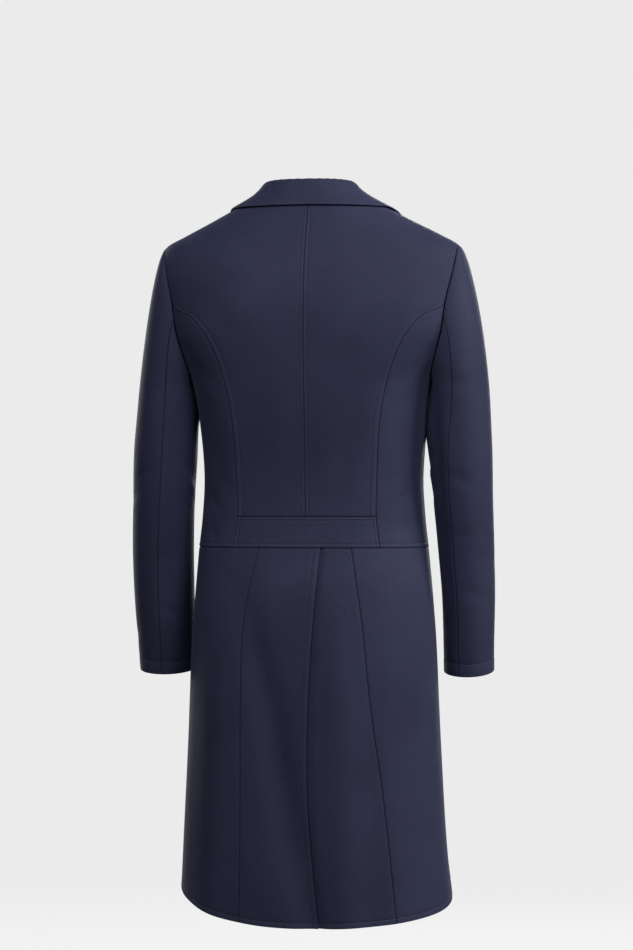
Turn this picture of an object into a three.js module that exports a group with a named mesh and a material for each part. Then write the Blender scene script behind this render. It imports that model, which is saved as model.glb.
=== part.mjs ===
// A riding tailcoat on nothing, holding the form of the person who would wear it.
// Millimetres, +Z up. The coat faces -Y, the wearer's left is +X, and the origin is
// the level of the side neck, midway between the shoulders, where the coat is worn.
//
// Every cloth piece is a thin wall. The body and the tails share one surface made of
// level rings; a piece is the stretch of that surface between two seams. The sleeves
// run from the armhole rings to the cuffs, and the collar is a folded wall.
import * as THREE from 'three';

// ---- Driving sizes -------------------------------------------------------------------
const WALL = 2.0;              // thickness of the softshell cloth, with its backing
const SEAM = 0.4;             // gap left between two pieces that are sewn together
const NECK_BACK = -11;         // neck seam at the centre back
const NECK_SIDE = -5;          // neck seam at the side of the neck
const SHOULDER_TIP = -82;      // level of the end of the shoulder
const ARMHOLE_BOTTOM = -292;   // level of the underarm point
const BREAK = -330;            // where the lapel starts to fold back
const BELT_TOP = -498;         // top edge of the inset back belt
const WAIST = -545;            // waist seam, all round
const FRONT_POINT = 30;        // how far the fronts dip below the waist at the centre
const OVERLAP_ANGLE = 94;      // a front ends 4 degrees past the centre front
const UNDERLAP = 3.2;          // how far a lower layer lies behind the upper one
const CUFF = -738;             // mean level of the sleeve hems
const BUTTON_RADIUS = 10;
const BUTTON_THICKNESS = 3.4;
const BUTTON_SIDES = 16;
const BUTTON_LEVELS = [-352, -424, -496];

const NAVY = 0x2b2e40;
const DEGREES = Math.PI / 180;

// ---- The rings of the body and the tails ---------------------------------------------
// level z, half width to the wearer's left and right, depth to the centre back and to
// the centre front, where the widest points lie front to back, and the squareness.
const RINGS = [
  //  z     left  right  back  front side square
  [   26,    66,    58,   50,   46,  10,  2.1],
  [    8,    76,    67,   55,   52,  10,  2.1],
  [   -5,    86,    79,   60,   58,  10,  2.2],
  [  -26,   127,   123,   72,   74,  10,  2.3],
  [  -45,   162,   160,   83,   84,  10,  2.3],
  [  -64,   198,   198,   93,   92,  10,  2.3],
  [  -82,   229,   228,  101,   98,  10,  2.4],
  [ -120,   240,   240,  114,  110,   6,  2.4],
  [ -168,   236,   236,  122,  119,   4,  2.4],
  [ -213,   228,   228,  124,  122,   2,  2.4],
  [ -250,   211,   211,  122,  122,   0,  2.4],
  [ -292,   188,   188,  118,  120,   0,  2.4],
  [ -361,   176,   176,  110,  115,   0,  2.4],
  [ -436,   170,   170,  101,  107,   0,  2.4],
  [ -498,   173,   173,   99,  105,   0,  2.4],
  [ -545,   178,   178,  106,  106,   0,  2.4],
  [ -621,   184,   185,  125,  108,   0,  2.4],
  [ -690,   189,   190,  131,  109,   0,  2.4],
  [ -845,   195,   197,  130,  110,   0,  2.4],
  [-1012,   203,   207,  130,  110,   0,  2.4],
  [-1125,   208,   220,  131,  110,   0,  2.4],
];

// Smooth value between the rows of a table, by Catmull-Rom through one named column.
function between(rows, at, column) {
  const last = rows.length - 1;
  const falling = rows[0][0] > rows[last][0];
  const before = (row) => (falling ? row[0] >= at : row[0] <= at);
  let i = 0;
  while (i < last - 1 && before(rows[i + 1])) i += 1;
  const [p0, p1, p2, p3] = [i - 1, i, i + 1, i + 2].map(
    (k) => rows[Math.min(Math.max(k, 0), last)]);
  const span = p2[0] - p1[0];
  const t = Math.min(Math.max((at - p1[0]) / span, 0), 1);
  const slope = (a, b) => (b[0] === a[0] ? 0 : (b[column] - a[column]) / (b[0] - a[0]));
  const m1 = slope(p0, p2) * span;
  const m2 = slope(p1, p3) * span;
  const t2 = t * t;
  const t3 = t2 * t;
  return (2 * t3 - 3 * t2 + 1) * p1[column] + (t3 - 2 * t2 + t) * m1
    + (3 * t2 - 2 * t3) * p2[column] + (t3 - t2) * m2;
}

const mix = (a, b, t) => a + (b - a) * t;
const smooth = (a, b, value) => {
  const t = Math.min(Math.max((value - a) / (b - a), 0), 1);
  return t * t * (3 - 2 * t);
};

// side is +1 for the wearer's left half and -1 for the right. The angle runs from 0 at
// the side to 90 at the centre back and -90 at the centre front.
function ringPoint(side, angle, level) {
  const half = between(RINGS, level, side > 0 ? 1 : 2);
  const depth = between(RINGS, level, angle >= 0 ? 3 : 4);
  const middle = between(RINGS, level, 5);
  const power = 2 / between(RINGS, level, 6);
  const [c, s] = [Math.cos(angle * DEGREES), Math.sin(angle * DEGREES)];
  const away = Math.sign(s) * Math.abs(s) ** power * (depth - Math.sign(s) * middle);
  return new THREE.Vector3(
    side * half * Math.sign(c) * Math.abs(c) ** power, middle + away, level);
}

// The angle of the ring at one distance from the middle, behind (+1) or in front (-1).
function angleAt(side, distance, level, facing) {
  const half = between(RINGS, level, side > 0 ? 1 : 2);
  const square = between(RINGS, level, 6);
  const c = Math.sign(distance) * (Math.abs(distance) / half) ** (square / 2);
  return facing * Math.acos(c) / DEGREES;
}

// Outward unit normal of the ring surface, by small steps each way.
function ringNormal(side, angle, level) {
  const turn = 0.5;
  const drop = 1;
  const along = ringPoint(side, angle + turn, level)
    .sub(ringPoint(side, angle - turn, level));
  const down = ringPoint(side, angle, level + drop)
    .sub(ringPoint(side, angle, level - drop));
  return along.cross(down).multiplyScalar(side).normalize();
}

// A point of the coat: on the ring surface, or lifted off it along the normal.
function coatPoint(side, angle, level, lift = 0) {
  const normal = ringNormal(side, angle, level);
  return ringPoint(side, angle, level).addScaledVector(normal, lift);
}

// ---- Closed walls --------------------------------------------------------------------
// Pull the border of a grid of points in by half a seam gap along the surface.
function shrinkBorder(grid, edges) {
  const half = SEAM / 2;
  const pull = (point, towards) => point.addScaledVector(
    towards.clone().sub(point).normalize(), half);
  const rows = grid.length - 1;
  const cols = grid[0].length - 1;
  if (edges.includes('top')) grid[0].forEach((p, c) => pull(p, grid[1][c]));
  if (edges.includes('bottom')) grid[rows].forEach((p, c) => pull(p, grid[rows - 1][c]));
  if (edges.includes('first')) grid.forEach((row) => pull(row[0], row[1]));
  if (edges.includes('last')) grid.forEach((row) => pull(row[cols], row[cols - 1]));
}

// Join two grids of the same size, one on each face of the cloth, into a closed wall.
function wallGeometry(outer, inner) {
  const rows = outer.length;
  const cols = outer[0].length;
  const points = [...outer.flat(), ...inner.flat()];
  const at = (face, r, c) => face * rows * cols + r * cols + c;
  const faces = [];
  const quad = (a, b, c, d) => faces.push(a, b, c, a, c, d);
  for (let r = 0; r < rows - 1; r += 1) {
    for (let c = 0; c < cols - 1; c += 1) {
      quad(at(0, r, c), at(0, r + 1, c), at(0, r + 1, c + 1), at(0, r, c + 1));
      quad(at(1, r, c), at(1, r, c + 1), at(1, r + 1, c + 1), at(1, r + 1, c));
    }
  }
  for (let c = 0; c < cols - 1; c += 1) {
    quad(at(0, 0, c), at(0, 0, c + 1), at(1, 0, c + 1), at(1, 0, c));
    quad(at(0, rows - 1, c + 1), at(0, rows - 1, c), at(1, rows - 1, c),
      at(1, rows - 1, c + 1));
  }
  for (let r = 0; r < rows - 1; r += 1) {
    quad(at(0, r + 1, 0), at(0, r, 0), at(1, r, 0), at(1, r + 1, 0));
    quad(at(0, r, cols - 1), at(0, r + 1, cols - 1), at(1, r + 1, cols - 1),
      at(1, r, cols - 1));
  }
  return closedGeometry(points, faces);
}

// An indexed geometry whose faces point out, whichever way the grids were walked.
function closedGeometry(points, faces) {
  let volume = 0;
  const cross = new THREE.Vector3();
  for (let i = 0; i < faces.length; i += 3) {
    cross.crossVectors(points[faces[i + 1]], points[faces[i + 2]]);
    volume += points[faces[i]].dot(cross);
  }
  if (volume < 0) faces.reverse();
  const geometry = new THREE.BufferGeometry();
  geometry.setAttribute('position',
    new THREE.Float32BufferAttribute(points.flatMap((p) => p.toArray()), 3));
  geometry.setIndex(faces);
  geometry.computeVertexNormals();
  return geometry;
}

const clothMaterial = () => new THREE.MeshStandardMaterial(
  { color: NAVY, roughness: 0.85, metalness: 0 });

const coat = new THREE.Group();
coat.name = 'tailcoat';

function addCloth(name, outer, inner, edges) {
  shrinkBorder(outer, edges);
  shrinkBorder(inner, edges);
  const mesh = new THREE.Mesh(wallGeometry(outer, inner), clothMaterial());
  mesh.name = name;
  coat.add(mesh);
}

// A piece of the coat between two seams. Each seam is a list of [angle, level], both of
// one length, and the rows of the piece run across from one to the other.
function addPanel(name, side, firstSeam, lastSeam, cols, options = {}) {
  const { lift = () => 0, bend = (angle, level) => level,
    edges = ['top', 'bottom', 'first', 'last'] } = options;
  const face = (depth) => firstSeam.map((start, r) => {
    const end = lastSeam[r];
    return Array.from({ length: cols + 1 }, (_, c) => {
      const t = c / cols;
      const angle = mix(start[0], end[0], t);
      const level = bend(angle, mix(start[1], end[1], t), r / (firstSeam.length - 1));
      return coatPoint(side, angle, level, lift(angle, level) - depth);
    });
  });
  addCloth(name, face(0), face(WALL), edges);
}

// count + 1 numbers from a to b.
const steps = (a, b, count) => Array.from(
  { length: count + 1 }, (_, i) => mix(a, b, i / count));

// ---- Seams of the body ---------------------------------------------------------------
// The armhole is an oval on the ring surface: turn 0 is the end of the shoulder, 90 the
// back, 180 the underarm and 270 the front.
const ARMHOLE_MIDDLE = (SHOULDER_TIP + ARMHOLE_BOTTOM) / 2;
const ARMHOLE_HALF = (SHOULDER_TIP - ARMHOLE_BOTTOM) / 2;
const ARMHOLE_BACK = 29;       // how many degrees it reaches behind the side
const ARMHOLE_FRONT = 35;      // and in front of it
const ARMHOLE_ROUND = 0.7;     // below 1 the oval is fuller than a circle
const PRINCESS_TURN = 80;      // turns where the princess and sleeve seams start
const BACK_SEAM_TURN = 95;
const FRONT_SEAM_TURN = 225;
const ARMHOLE_TURNS = [
  0, 14, 28, 42, 56, 68, PRINCESS_TURN, BACK_SEAM_TURN, 110, 125, 140, 155, 168,
  180, 195, 210, FRONT_SEAM_TURN, 240, 255, 270, 286, 302, 318, 332, 346];

function armhole(turn) {
  const s = Math.sin(turn * DEGREES);
  const reach = s >= 0 ? ARMHOLE_BACK : ARMHOLE_FRONT;
  return [
    Math.sign(s) * reach * Math.abs(s) ** ARMHOLE_ROUND,
    ARMHOLE_MIDDLE + ARMHOLE_HALF * Math.cos(turn * DEGREES),
  ];
}
const armholeRun = (from, to) => ARMHOLE_TURNS
  .filter((turn) => turn >= Math.min(from, to) && turn <= Math.max(from, to))
  .map(armhole);

// The princess seam curves from the armhole to the waist: level, distance from middle.
const PRINCESS = [
  [-169, 211], [-190, 180], [-222, 153], [-260, 135], [-303, 122], [-345, 114],
  [-390, 110], [-442, 108], [-498, 107], [-545, 113]];
const PRINCESS_LEAVE = 22;      // height over which it leaves the armhole's edge
const princessStart = armhole(PRINCESS_TURN);
function princess(side, level) {
  const along = angleAt(side, between(PRINCESS, level, 1), level, 1);
  const blend = smooth(princessStart[1], princessStart[1] - PRINCESS_LEAVE, level);
  return [mix(princessStart[0], along, blend), level];
}
const PRINCESS_ROWS = 14;
const BELT_ROWS = 2;
const princessLevels = steps(princessStart[1], BELT_TOP, PRINCESS_ROWS);
const beltLevels = steps(BELT_TOP, WAIST, BELT_ROWS);

// ---- Back, side backs and belt -------------------------------------------------------
const SHOULDER_ROWS = 4;
const shoulderLevels = steps(NECK_SIDE, SHOULDER_TIP, SHOULDER_ROWS);
const shoulderSeam = shoulderLevels.map((level) => [0, level]);
const BACK_COLUMNS = 5;
const SIDE_BACK_COLUMNS = 4;
const SIDE_BACK_CLEAR = 4;     // it starts this far below the point of its two seams
const BELT_COLUMNS = 12;

function addBack(side, name) {
  const outer = [
    ...shoulderSeam,
    ...armholeRun(1, PRINCESS_TURN),
    ...princessLevels.slice(1).map((level) => princess(side, level)),
  ];
  const armholeRows = armholeRun(1, PRINCESS_TURN).length;
  const centre = [
    ...steps(NECK_BACK, SHOULDER_TIP, SHOULDER_ROWS),
    ...steps(SHOULDER_TIP, princessStart[1], armholeRows).slice(1),
    ...princessLevels.slice(1),
  ].map((level) => [90, level]);
  addPanel(name, side, centre, outer, BACK_COLUMNS);
}

function addSideBack(side, name) {
  const inner = [...princessLevels, ...beltLevels.slice(1)]
    .map((level) => princess(side, level));
  const arm = armholeRun(PRINCESS_TURN, 180);
  const sideRows = inner.length - arm.length;
  const outer = [
    ...arm,
    ...steps(ARMHOLE_BOTTOM, WAIST, sideRows).slice(1).map((level) => [0, level])];
  inner[0] = princess(side, princessStart[1] - SIDE_BACK_CLEAR);
  addPanel(name, side, inner, outer, SIDE_BACK_COLUMNS);
}

addBack(1, 'back_left');
addBack(-1, 'back_right');
addSideBack(1, 'side_back_left');
addSideBack(-1, 'side_back_right');

function addBelt() {
  const face = (depth) => beltLevels.map((level) => {
    const edge = { left: princess(1, level)[0], right: princess(-1, level)[0] };
    const half = BELT_COLUMNS / 2;
    return Array.from({ length: BELT_COLUMNS + 1 }, (_, c) => {
      const side = c <= half ? 1 : -1;
      const start = side > 0 ? edge.left : edge.right;
      const t = side > 0 ? c / half : (BELT_COLUMNS - c) / half;
      return coatPoint(side, mix(start, 90, t), level, -depth);
    });
  });
  addCloth('back_belt', face(0), face(WALL), ['top', 'bottom', 'first', 'last']);
}
addBelt();

// ---- Fronts and lapels ---------------------------------------------------------------
// The front edge: the roll line from the neck to the break, then the closed edge.
const NECK_FRONT = [-14, 74];
const ROLL_TOP = [-40, 66];
const ROLL_END = 2;            // the roll line ends this far from the middle
const TURN_HEIGHT = 22;        // and then curves out to the closed edge
function frontEdge(side, level) {
  const slope = (ROLL_TOP[1] - ROLL_END) / (ROLL_TOP[0] - BREAK);
  const roll = ROLL_TOP[1] + (level - ROLL_TOP[0]) * slope;
  if (level <= BREAK) {
    const closed = smooth(BREAK, BREAK - TURN_HEIGHT, level);
    return [mix(angleAt(side, ROLL_END, BREAK, -1), -OVERLAP_ANGLE, closed), level];
  }
  if (level < ROLL_TOP[0]) return [angleAt(side, roll, level, -1), level];
  const t = (level - ROLL_TOP[0]) / (NECK_FRONT[0] - ROLL_TOP[0]);
  return [angleAt(side, mix(ROLL_TOP[1], NECK_FRONT[1], t), level, -1), level];
}

const SIDE_ROWS = 8;
const BREAK_ROWS = 2;
const FRONT_COLUMNS = 7;
const POINT_TURNS = [-44, -90];      // the point grows between these ring angles
const POINT_START = 0.75;            // over the last quarter of the front's rows
const FRONT_STEP_TURNS = [-64, -78]; // where the right front steps in under the left
function addFront(side, name) {
  const arm = armholeRun(180, 359).reverse();
  const outer = [
    ...shoulderSeam,
    ...arm,
    ...steps(ARMHOLE_BOTTOM, WAIST, SIDE_ROWS).slice(1).map((level) => [0, level])];
  const inner = [
    ...steps(NECK_FRONT[0], SHOULDER_TIP, SHOULDER_ROWS),
    ...steps(SHOULDER_TIP, ARMHOLE_BOTTOM, arm.length).slice(1),
    ...steps(ARMHOLE_BOTTOM, BREAK, BREAK_ROWS).slice(1),
    ...steps(BREAK, WAIST, SIDE_ROWS - BREAK_ROWS).slice(1),
  ].map((level) => frontEdge(side, level));
  // Below the waist seam the fronts end in a shallow point at the centre.
  const bend = (angle, level, t) => level
    - FRONT_POINT * smooth(...POINT_TURNS, angle) * smooth(POINT_START, 1, t);
  // The right front passes under the left one.
  const lift = side > 0 ? () => 0
    : (angle) => -UNDERLAP * smooth(...FRONT_STEP_TURNS, angle);
  addPanel(name, side, outer, inner, FRONT_COLUMNS, { bend, lift });
}
addFront(1, 'front_left');
addFront(-1, 'front_right');

// The lapel is the turned-back facing. It lies on the front, from the roll line out.
const LAPEL_LIFT = WALL + 0.8;
// Its outer edge: level, distance from the middle.
const LAPEL_EDGE = [[-98, 128], [-140, 121], [-200, 95], [-260, 57], [-322, 8]];
const GORGE_LEVEL = -64;       // where the lapel meets the collar at the roll line
const LAPEL_FOOT = BREAK + 8;
const LAPEL_ROWS = 9;
const LAPEL_COLUMNS = 4;
function addLapel(side, name) {
  const roll = steps(GORGE_LEVEL, LAPEL_FOOT, LAPEL_ROWS).map((level) => {
    const [angle] = frontEdge(side, level);
    return [angle, level];
  });
  const edge = steps(LAPEL_EDGE[0][0], LAPEL_EDGE.at(-1)[0], LAPEL_ROWS).map((level) => [
    angleAt(side, between(LAPEL_EDGE, level, 1), level, -1), level]);
  const lift = () => LAPEL_LIFT;
  addPanel(name, side, roll, edge, LAPEL_COLUMNS, { lift });
}
addLapel(1, 'lapel_left');
addLapel(-1, 'lapel_right');

// ---- Collar --------------------------------------------------------------------------
// One folded wall from the neck seam up the stand, over the roll and down the leaf.
// Each station gives angle and level of the seam, of the roll and of the leaf's edge,
// on the ring surface, from the centre back to the notch.
const COLLAR = [
  // seam          roll           leaf edge
  [90, -10.7,   90, 19,     90, -22],
  [62,  -8.7,   61, 19,     63, -23],
  [32,  -6.7,   31, 18,     36, -24],
  [ 0,  -4.6,    0, 15,      4, -25],
  [-26, -8.2,  -25,  5,    -24, -37],
  [-50, -12,   -50, -8,    -44, -54],
  [-74, -34,   -70, -36,   -58, -68],
  [-79, -55,   -76.5, -58.5,  -62, -75],
];
// Across the leaf: how far down it the point lies, and its lift off the ring surface.
const STAND_POINTS = [[0, -1], [0.5, -1.4], [0.88, -1.6]];
const LEAF_POINTS = [[0.1, 3.2], [0.35, 5.5], [0.65, 5.2], [1, 3]];
const ROLL_LIFT = 0.8;
const COLLAR_WALL = 1.8;
const COLLAR_STEPS = 2;        // mesh rows between two stations

function collarSection(station, side) {
  const [seamAngle, seamLevel, rollAngle, rollLevel, edgeAngle, edgeLevel] = station;
  const stand = STAND_POINTS.map(([t, lift]) => coatPoint(side,
    mix(seamAngle, rollAngle, t), mix(seamLevel, rollLevel, t), lift));
  const roll = coatPoint(side, rollAngle, rollLevel, ROLL_LIFT);
  const leaf = LEAF_POINTS.map(([t, lift]) => coatPoint(side,
    mix(rollAngle, edgeAngle, t), mix(rollLevel, edgeLevel, t), lift));
  return [...stand, roll, ...leaf];
}

function addCollar() {
  const half = [];
  for (let i = 0; i < (COLLAR.length - 1) * COLLAR_STEPS + 1; i += 1) {
    const place = i / COLLAR_STEPS;
    const indexed = COLLAR.map((station, k) => [k, ...station]);
    half.push([1, 2, 3, 4, 5, 6].map((column) => between(indexed, place, column)));
  }
  const middle = [
    ...half.slice(1).reverse().map((station) => collarSection(station, 1)),
    ...half.map((station) => collarSection(station, -1)),
  ];
  const face = (depth) => middle.map((row, r) => row.map((point, c) => {
    const along = middle[Math.min(r + 1, middle.length - 1)][c].clone()
      .sub(middle[Math.max(r - 1, 0)][c]);
    const across = row[Math.min(c + 1, row.length - 1)].clone()
      .sub(row[Math.max(c - 1, 0)]);
    return point.clone().addScaledVector(along.cross(across).normalize(), depth);
  }));
  addCloth('collar', face(COLLAR_WALL / 2), face(-COLLAR_WALL / 2), []);
}
addCollar();

// ---- Tails ---------------------------------------------------------------------------
// Each tail is cut in a back and a side piece. Levels, then distances from the middle:
// the long seam on the left and right, the vent edge of the upper (left) tail, and the
// hidden edge of the lower (right) tail.
const TAIL_SEAMS = [
  //  z    seam left  right  vent  under
  [ -545,      71,      71,  -24,   24],
  [ -655,      93,      89,  -16,   24],
  [ -790,      97,     103,   -8,   22],
  [ -915,      97,     120,   -7,   20],
  [-1040,      98,     134,  -16,   10],
  [-1120,      99,     142,  -25,    3],
];
const HEM_CENTRE = -1120;
const HEM_RISE = { left: 32, right: 18 };  // higher this far round from the centre:
const HEM_TURN = 62;
const HEM_POWER = 1.6;
const CORNER_RADIUS = 34;
const FRONT_AT_WAIST = -40;    // ring angle of a tail's side edge at the waist
const FRONT_AT_HEM = -9;       // and at the hem
const FRONT_SLANT = 0.8;
const TAIL_STEP_TURNS = [62, 74];  // where the right tail steps in under the left
const TAIL_ROWS = 11;
const TAIL_BACK_COLUMNS = 7;
const TAIL_SIDE_COLUMNS = 8;

function hemLevel(side, angle) {
  const rise = side > 0 ? HEM_RISE.left : HEM_RISE.right;
  const round = ringPoint(side, angle, HEM_CENTRE)
    .distanceTo(ringPoint(side, FRONT_AT_HEM, HEM_CENTRE));
  const reach = 1 - Math.min(round / CORNER_RADIUS, 1);
  return HEM_CENTRE + rise * (Math.max(90 - angle, 0) / HEM_TURN) ** HEM_POWER
    + CORNER_RADIUS * (1 - Math.sqrt(1 - reach * reach));
}

function addTail(side, back, sidePiece) {
  const share = steps(0, 1, TAIL_ROWS);
  const nominal = share.map((t) => mix(WAIST, HEM_CENTRE, t));
  const seamColumn = side > 0 ? 1 : 2;
  const seam = nominal.map((level) => angleAt(
    side, between(TAIL_SEAMS, level, seamColumn), level, 1));
  const vent = nominal.map((level) => {
    const past = between(TAIL_SEAMS, level, side > 0 ? 3 : 4);
    return angleAt(side, side * past, level, 1);
  });
  const front = share.map((t) => mix(FRONT_AT_WAIST, FRONT_AT_HEM, t ** FRONT_SLANT));
  // The rows fan out from the level waist seam to the curved hem.
  const bend = (angle, level, t) => mix(WAIST, hemLevel(side, angle), t);
  const lift = side > 0 ? () => 0
    : (angle) => -UNDERLAP * smooth(...TAIL_STEP_TURNS, angle);
  const pair = (angles) => angles.map((angle, i) => [angle, nominal[i]]);
  addPanel(back, side, pair(seam), pair(vent), TAIL_BACK_COLUMNS, { bend, lift });
  addPanel(sidePiece, side, pair(front), pair(seam), TAIL_SIDE_COLUMNS, { bend, lift });
}
addTail(1, 'tail_left_back', 'tail_left_side');
addTail(-1, 'tail_right_back', 'tail_right_side');

// ---- Sleeves -------------------------------------------------------------------------
// Below the armhole a sleeve is a run of tilted oval rings: level, middle out from the
// body, middle front to back, half width, half depth, and how far its seams have turned.
const SLEEVES = {
  left: [
    [-330, 229.5,   3, 46.5, 61,  2],
    [-398, 233.5,  -2, 49.5, 58,  0],
    [-473, 237.5,  -8, 48.0, 55, -2],
    [-547, 240.5, -18, 47.8, 53, -4],
    [-622, 241.0, -31, 47.0, 51, -6],
    [-696, 240.0, -46, 45.0, 49, -7],
    [-738, 239.5, -55, 43.5, 48, -8],
  ],
  right: [
    [-330, 228.0,   3, 46.5, 62,  6],
    [-398, 228.5,  -2, 48.5, 60, 12],
    [-473, 231.5,  -9, 46.0, 57, 16],
    [-547, 235.0, -20, 43.5, 55, 15],
    [-622, 237.5, -33, 41.0, 53, 14],
    [-696, 236.5, -48, 39.3, 52, 14],
    [-738, 236.0, -57, 38.8, 51, 14],
  ],
};
const SLEEVE_HEAD_ROWS = 5;
const SLEEVE_ROWS = 7;
const RING_TILT = 0.16;        // the cuff hangs lower behind than in front
const HEAD_LIFT = 0.5;         // the sleeve head sits just proud of the armhole edge
const HEAD_START = 0.4;        // and starts this far out from it
// How the head leaves the armhole, in mm: outward, and more at the top; forward or back;
// and down, with more at the two sides. It arrives upright, this share of the way down.
const HEAD_OUT = [10, 6];
const HEAD_BACK = 6;
const HEAD_DOWN = [6, 12];
const HEAD_ARRIVE = 0.42;

function sleeveRing(side, level, turn) {
  const rows = side > 0 ? SLEEVES.left : SLEEVES.right;
  const [out, depth, halfWidth, halfDepth, twist] = [1, 2, 3, 4, 5].map(
    (column) => between(rows, level, column));
  const angle = (turn + twist) * DEGREES;
  const back = halfDepth * Math.sin(angle);
  const tilt = RING_TILT * smooth(SLEEVES.left[0][0], CUFF, level);
  return new THREE.Vector3(
    side * (out + halfWidth * Math.cos(angle)), depth + back, level - tilt * back);
}

// Rows 0 to 1 run from the armhole to the first full ring, and 1 to 2 to the cuff.
function sleevePoint(side, run, turn) {
  const first = SLEEVES.left[0][0];
  if (run >= 1) return sleeveRing(side, mix(first, CUFF, run - 1), turn);
  const [angle, level] = armhole(turn);
  const [c, s] = [Math.cos(turn * DEGREES), Math.sin(turn * DEGREES)];
  const away = new THREE.Vector3(
    side * (HEAD_OUT[0] + HEAD_OUT[1] * c), HEAD_BACK * s,
    -HEAD_DOWN[0] - HEAD_DOWN[1] * s * s);
  const start = coatPoint(side, angle, level, HEAD_LIFT)
    .addScaledVector(away.clone().normalize(), HEAD_START);
  const end = sleeveRing(side, first, turn);
  const leave = start.clone().add(away);
  const arrive = end.clone().add(
    new THREE.Vector3(0, 0, HEAD_ARRIVE * (start.z - end.z)));
  return new THREE.CubicBezierCurve3(start, leave, arrive, end).getPoint(run);
}

function sleeveFace(side, turns, depth) {
  const runs = [
    ...steps(0, 1, SLEEVE_HEAD_ROWS),
    ...steps(1, 2, SLEEVE_ROWS).slice(1)];
  const small = 0.02;
  return runs.map((run) => turns.map((turn) => {
    const point = sleevePoint(side, run, turn);
    const low = Math.max(run - small, 0);
    const high = Math.min(run + small, 2);
    const down = sleevePoint(side, high, turn).sub(sleevePoint(side, low, turn));
    const round = sleevePoint(side, run, turn + 2).sub(sleevePoint(side, run, turn - 2));
    const normal = down.cross(round).multiplyScalar(side).normalize();
    if (run === 0) {
      // Over the shoulder the edge of the sleeve is square to the body, not to itself.
      const over = 2 * Math.cos(turn * DEGREES / 2) ** 2;
      normal.addScaledVector(ringNormal(side, ...armhole(turn)), over).normalize();
    }
    return point.addScaledVector(normal, -depth);
  }));
}

function addSleeve(side, topName, underName) {
  const whole = 360;
  const under = ARMHOLE_TURNS.filter(
    (turn) => turn >= BACK_SEAM_TURN && turn <= FRONT_SEAM_TURN);
  const top = [
    ...ARMHOLE_TURNS.filter((turn) => turn >= FRONT_SEAM_TURN).map((turn) => turn - whole),
    ...ARMHOLE_TURNS.filter((turn) => turn <= BACK_SEAM_TURN)];
  const edges = ['top', 'first', 'last'];
  [[topName, top], [underName, under]].forEach(([name, turns]) => {
    addCloth(name, sleeveFace(side, turns, 0), sleeveFace(side, turns, WALL), edges);
  });
}
addSleeve(1, 'sleeve_top_left', 'sleeve_under_left');
addSleeve(-1, 'sleeve_top_right', 'sleeve_under_right');

// ---- Buttons -------------------------------------------------------------------------
// Plain shanked buttons down the upper front edge, each turned about its own axis.
function addButton(name, level) {
  const bevel = 0.8;
  const stem = 2.5;
  const rest = 0.35;
  const profile = [
    [0, 0], [stem, 0], [stem, 1], [BUTTON_RADIUS - bevel, 1],
    [BUTTON_RADIUS, 1 + bevel], [BUTTON_RADIUS, BUTTON_THICKNESS - bevel],
    [BUTTON_RADIUS - bevel, BUTTON_THICKNESS], [0, BUTTON_THICKNESS],
  ].map(([x, y]) => new THREE.Vector2(x, y));
  const mesh = new THREE.Mesh(
    new THREE.LatheGeometry(profile, BUTTON_SIDES),
    new THREE.MeshStandardMaterial({ color: 0x1d2030, roughness: 0.4, metalness: 0 }));
  mesh.name = name;
  const normal = ringNormal(1, -90, level);
  mesh.position.copy(coatPoint(1, -90, level, rest));
  mesh.quaternion.setFromUnitVectors(new THREE.Vector3(0, 1, 0), normal);
  coat.add(mesh);
}
BUTTON_LEVELS.forEach((level, i) => addButton(`button_${i + 1}`, level));

export default coat;
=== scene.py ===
# %% [markdown]
# # A riding tailcoat, hanging as worn
#
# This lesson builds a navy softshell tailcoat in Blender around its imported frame. The
# coat is a hollow form: cloth walls about two millimetres thick, sewn from backs, side
# backs, a belt, fronts, lapels, a collar, two tails and two sleeves.
# The frame is loaded first, and every new piece goes where the frame says.

# %% Load the frame
import math

import bpy
import numpy as np
from mathutils import Matrix, Vector


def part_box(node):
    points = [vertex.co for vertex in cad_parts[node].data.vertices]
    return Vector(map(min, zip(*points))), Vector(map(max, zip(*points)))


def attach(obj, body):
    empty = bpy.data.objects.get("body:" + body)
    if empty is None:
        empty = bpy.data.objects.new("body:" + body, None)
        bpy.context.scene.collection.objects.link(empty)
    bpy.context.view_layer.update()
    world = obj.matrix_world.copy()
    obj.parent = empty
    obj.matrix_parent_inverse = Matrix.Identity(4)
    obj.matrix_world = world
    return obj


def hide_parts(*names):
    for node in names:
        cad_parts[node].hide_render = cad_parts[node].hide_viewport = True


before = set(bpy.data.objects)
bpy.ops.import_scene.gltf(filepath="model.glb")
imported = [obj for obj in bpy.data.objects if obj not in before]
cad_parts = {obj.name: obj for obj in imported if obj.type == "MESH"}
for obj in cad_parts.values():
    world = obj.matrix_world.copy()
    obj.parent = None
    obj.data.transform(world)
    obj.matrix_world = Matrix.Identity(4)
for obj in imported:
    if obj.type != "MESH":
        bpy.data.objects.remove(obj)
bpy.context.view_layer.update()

# %% [markdown]
# ## The camera
#
# The coat is seen from behind and slightly from its right, level with its waist and
# about five metres away. A long lens keeps the tails and shoulders nearly flat.

# %% Camera
VIEW_TURN = math.radians(188)
VIEW_DISTANCE = 5.0
VIEW_HEIGHT = -0.434
PICTURE_HEIGHT = 1.4725        # metres of coat plane that fill the frame from top to bottom
PICTURE_SHIFT = 0.004          # how far the coat's axis stands left of the middle
SENSOR = 36.0

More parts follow.
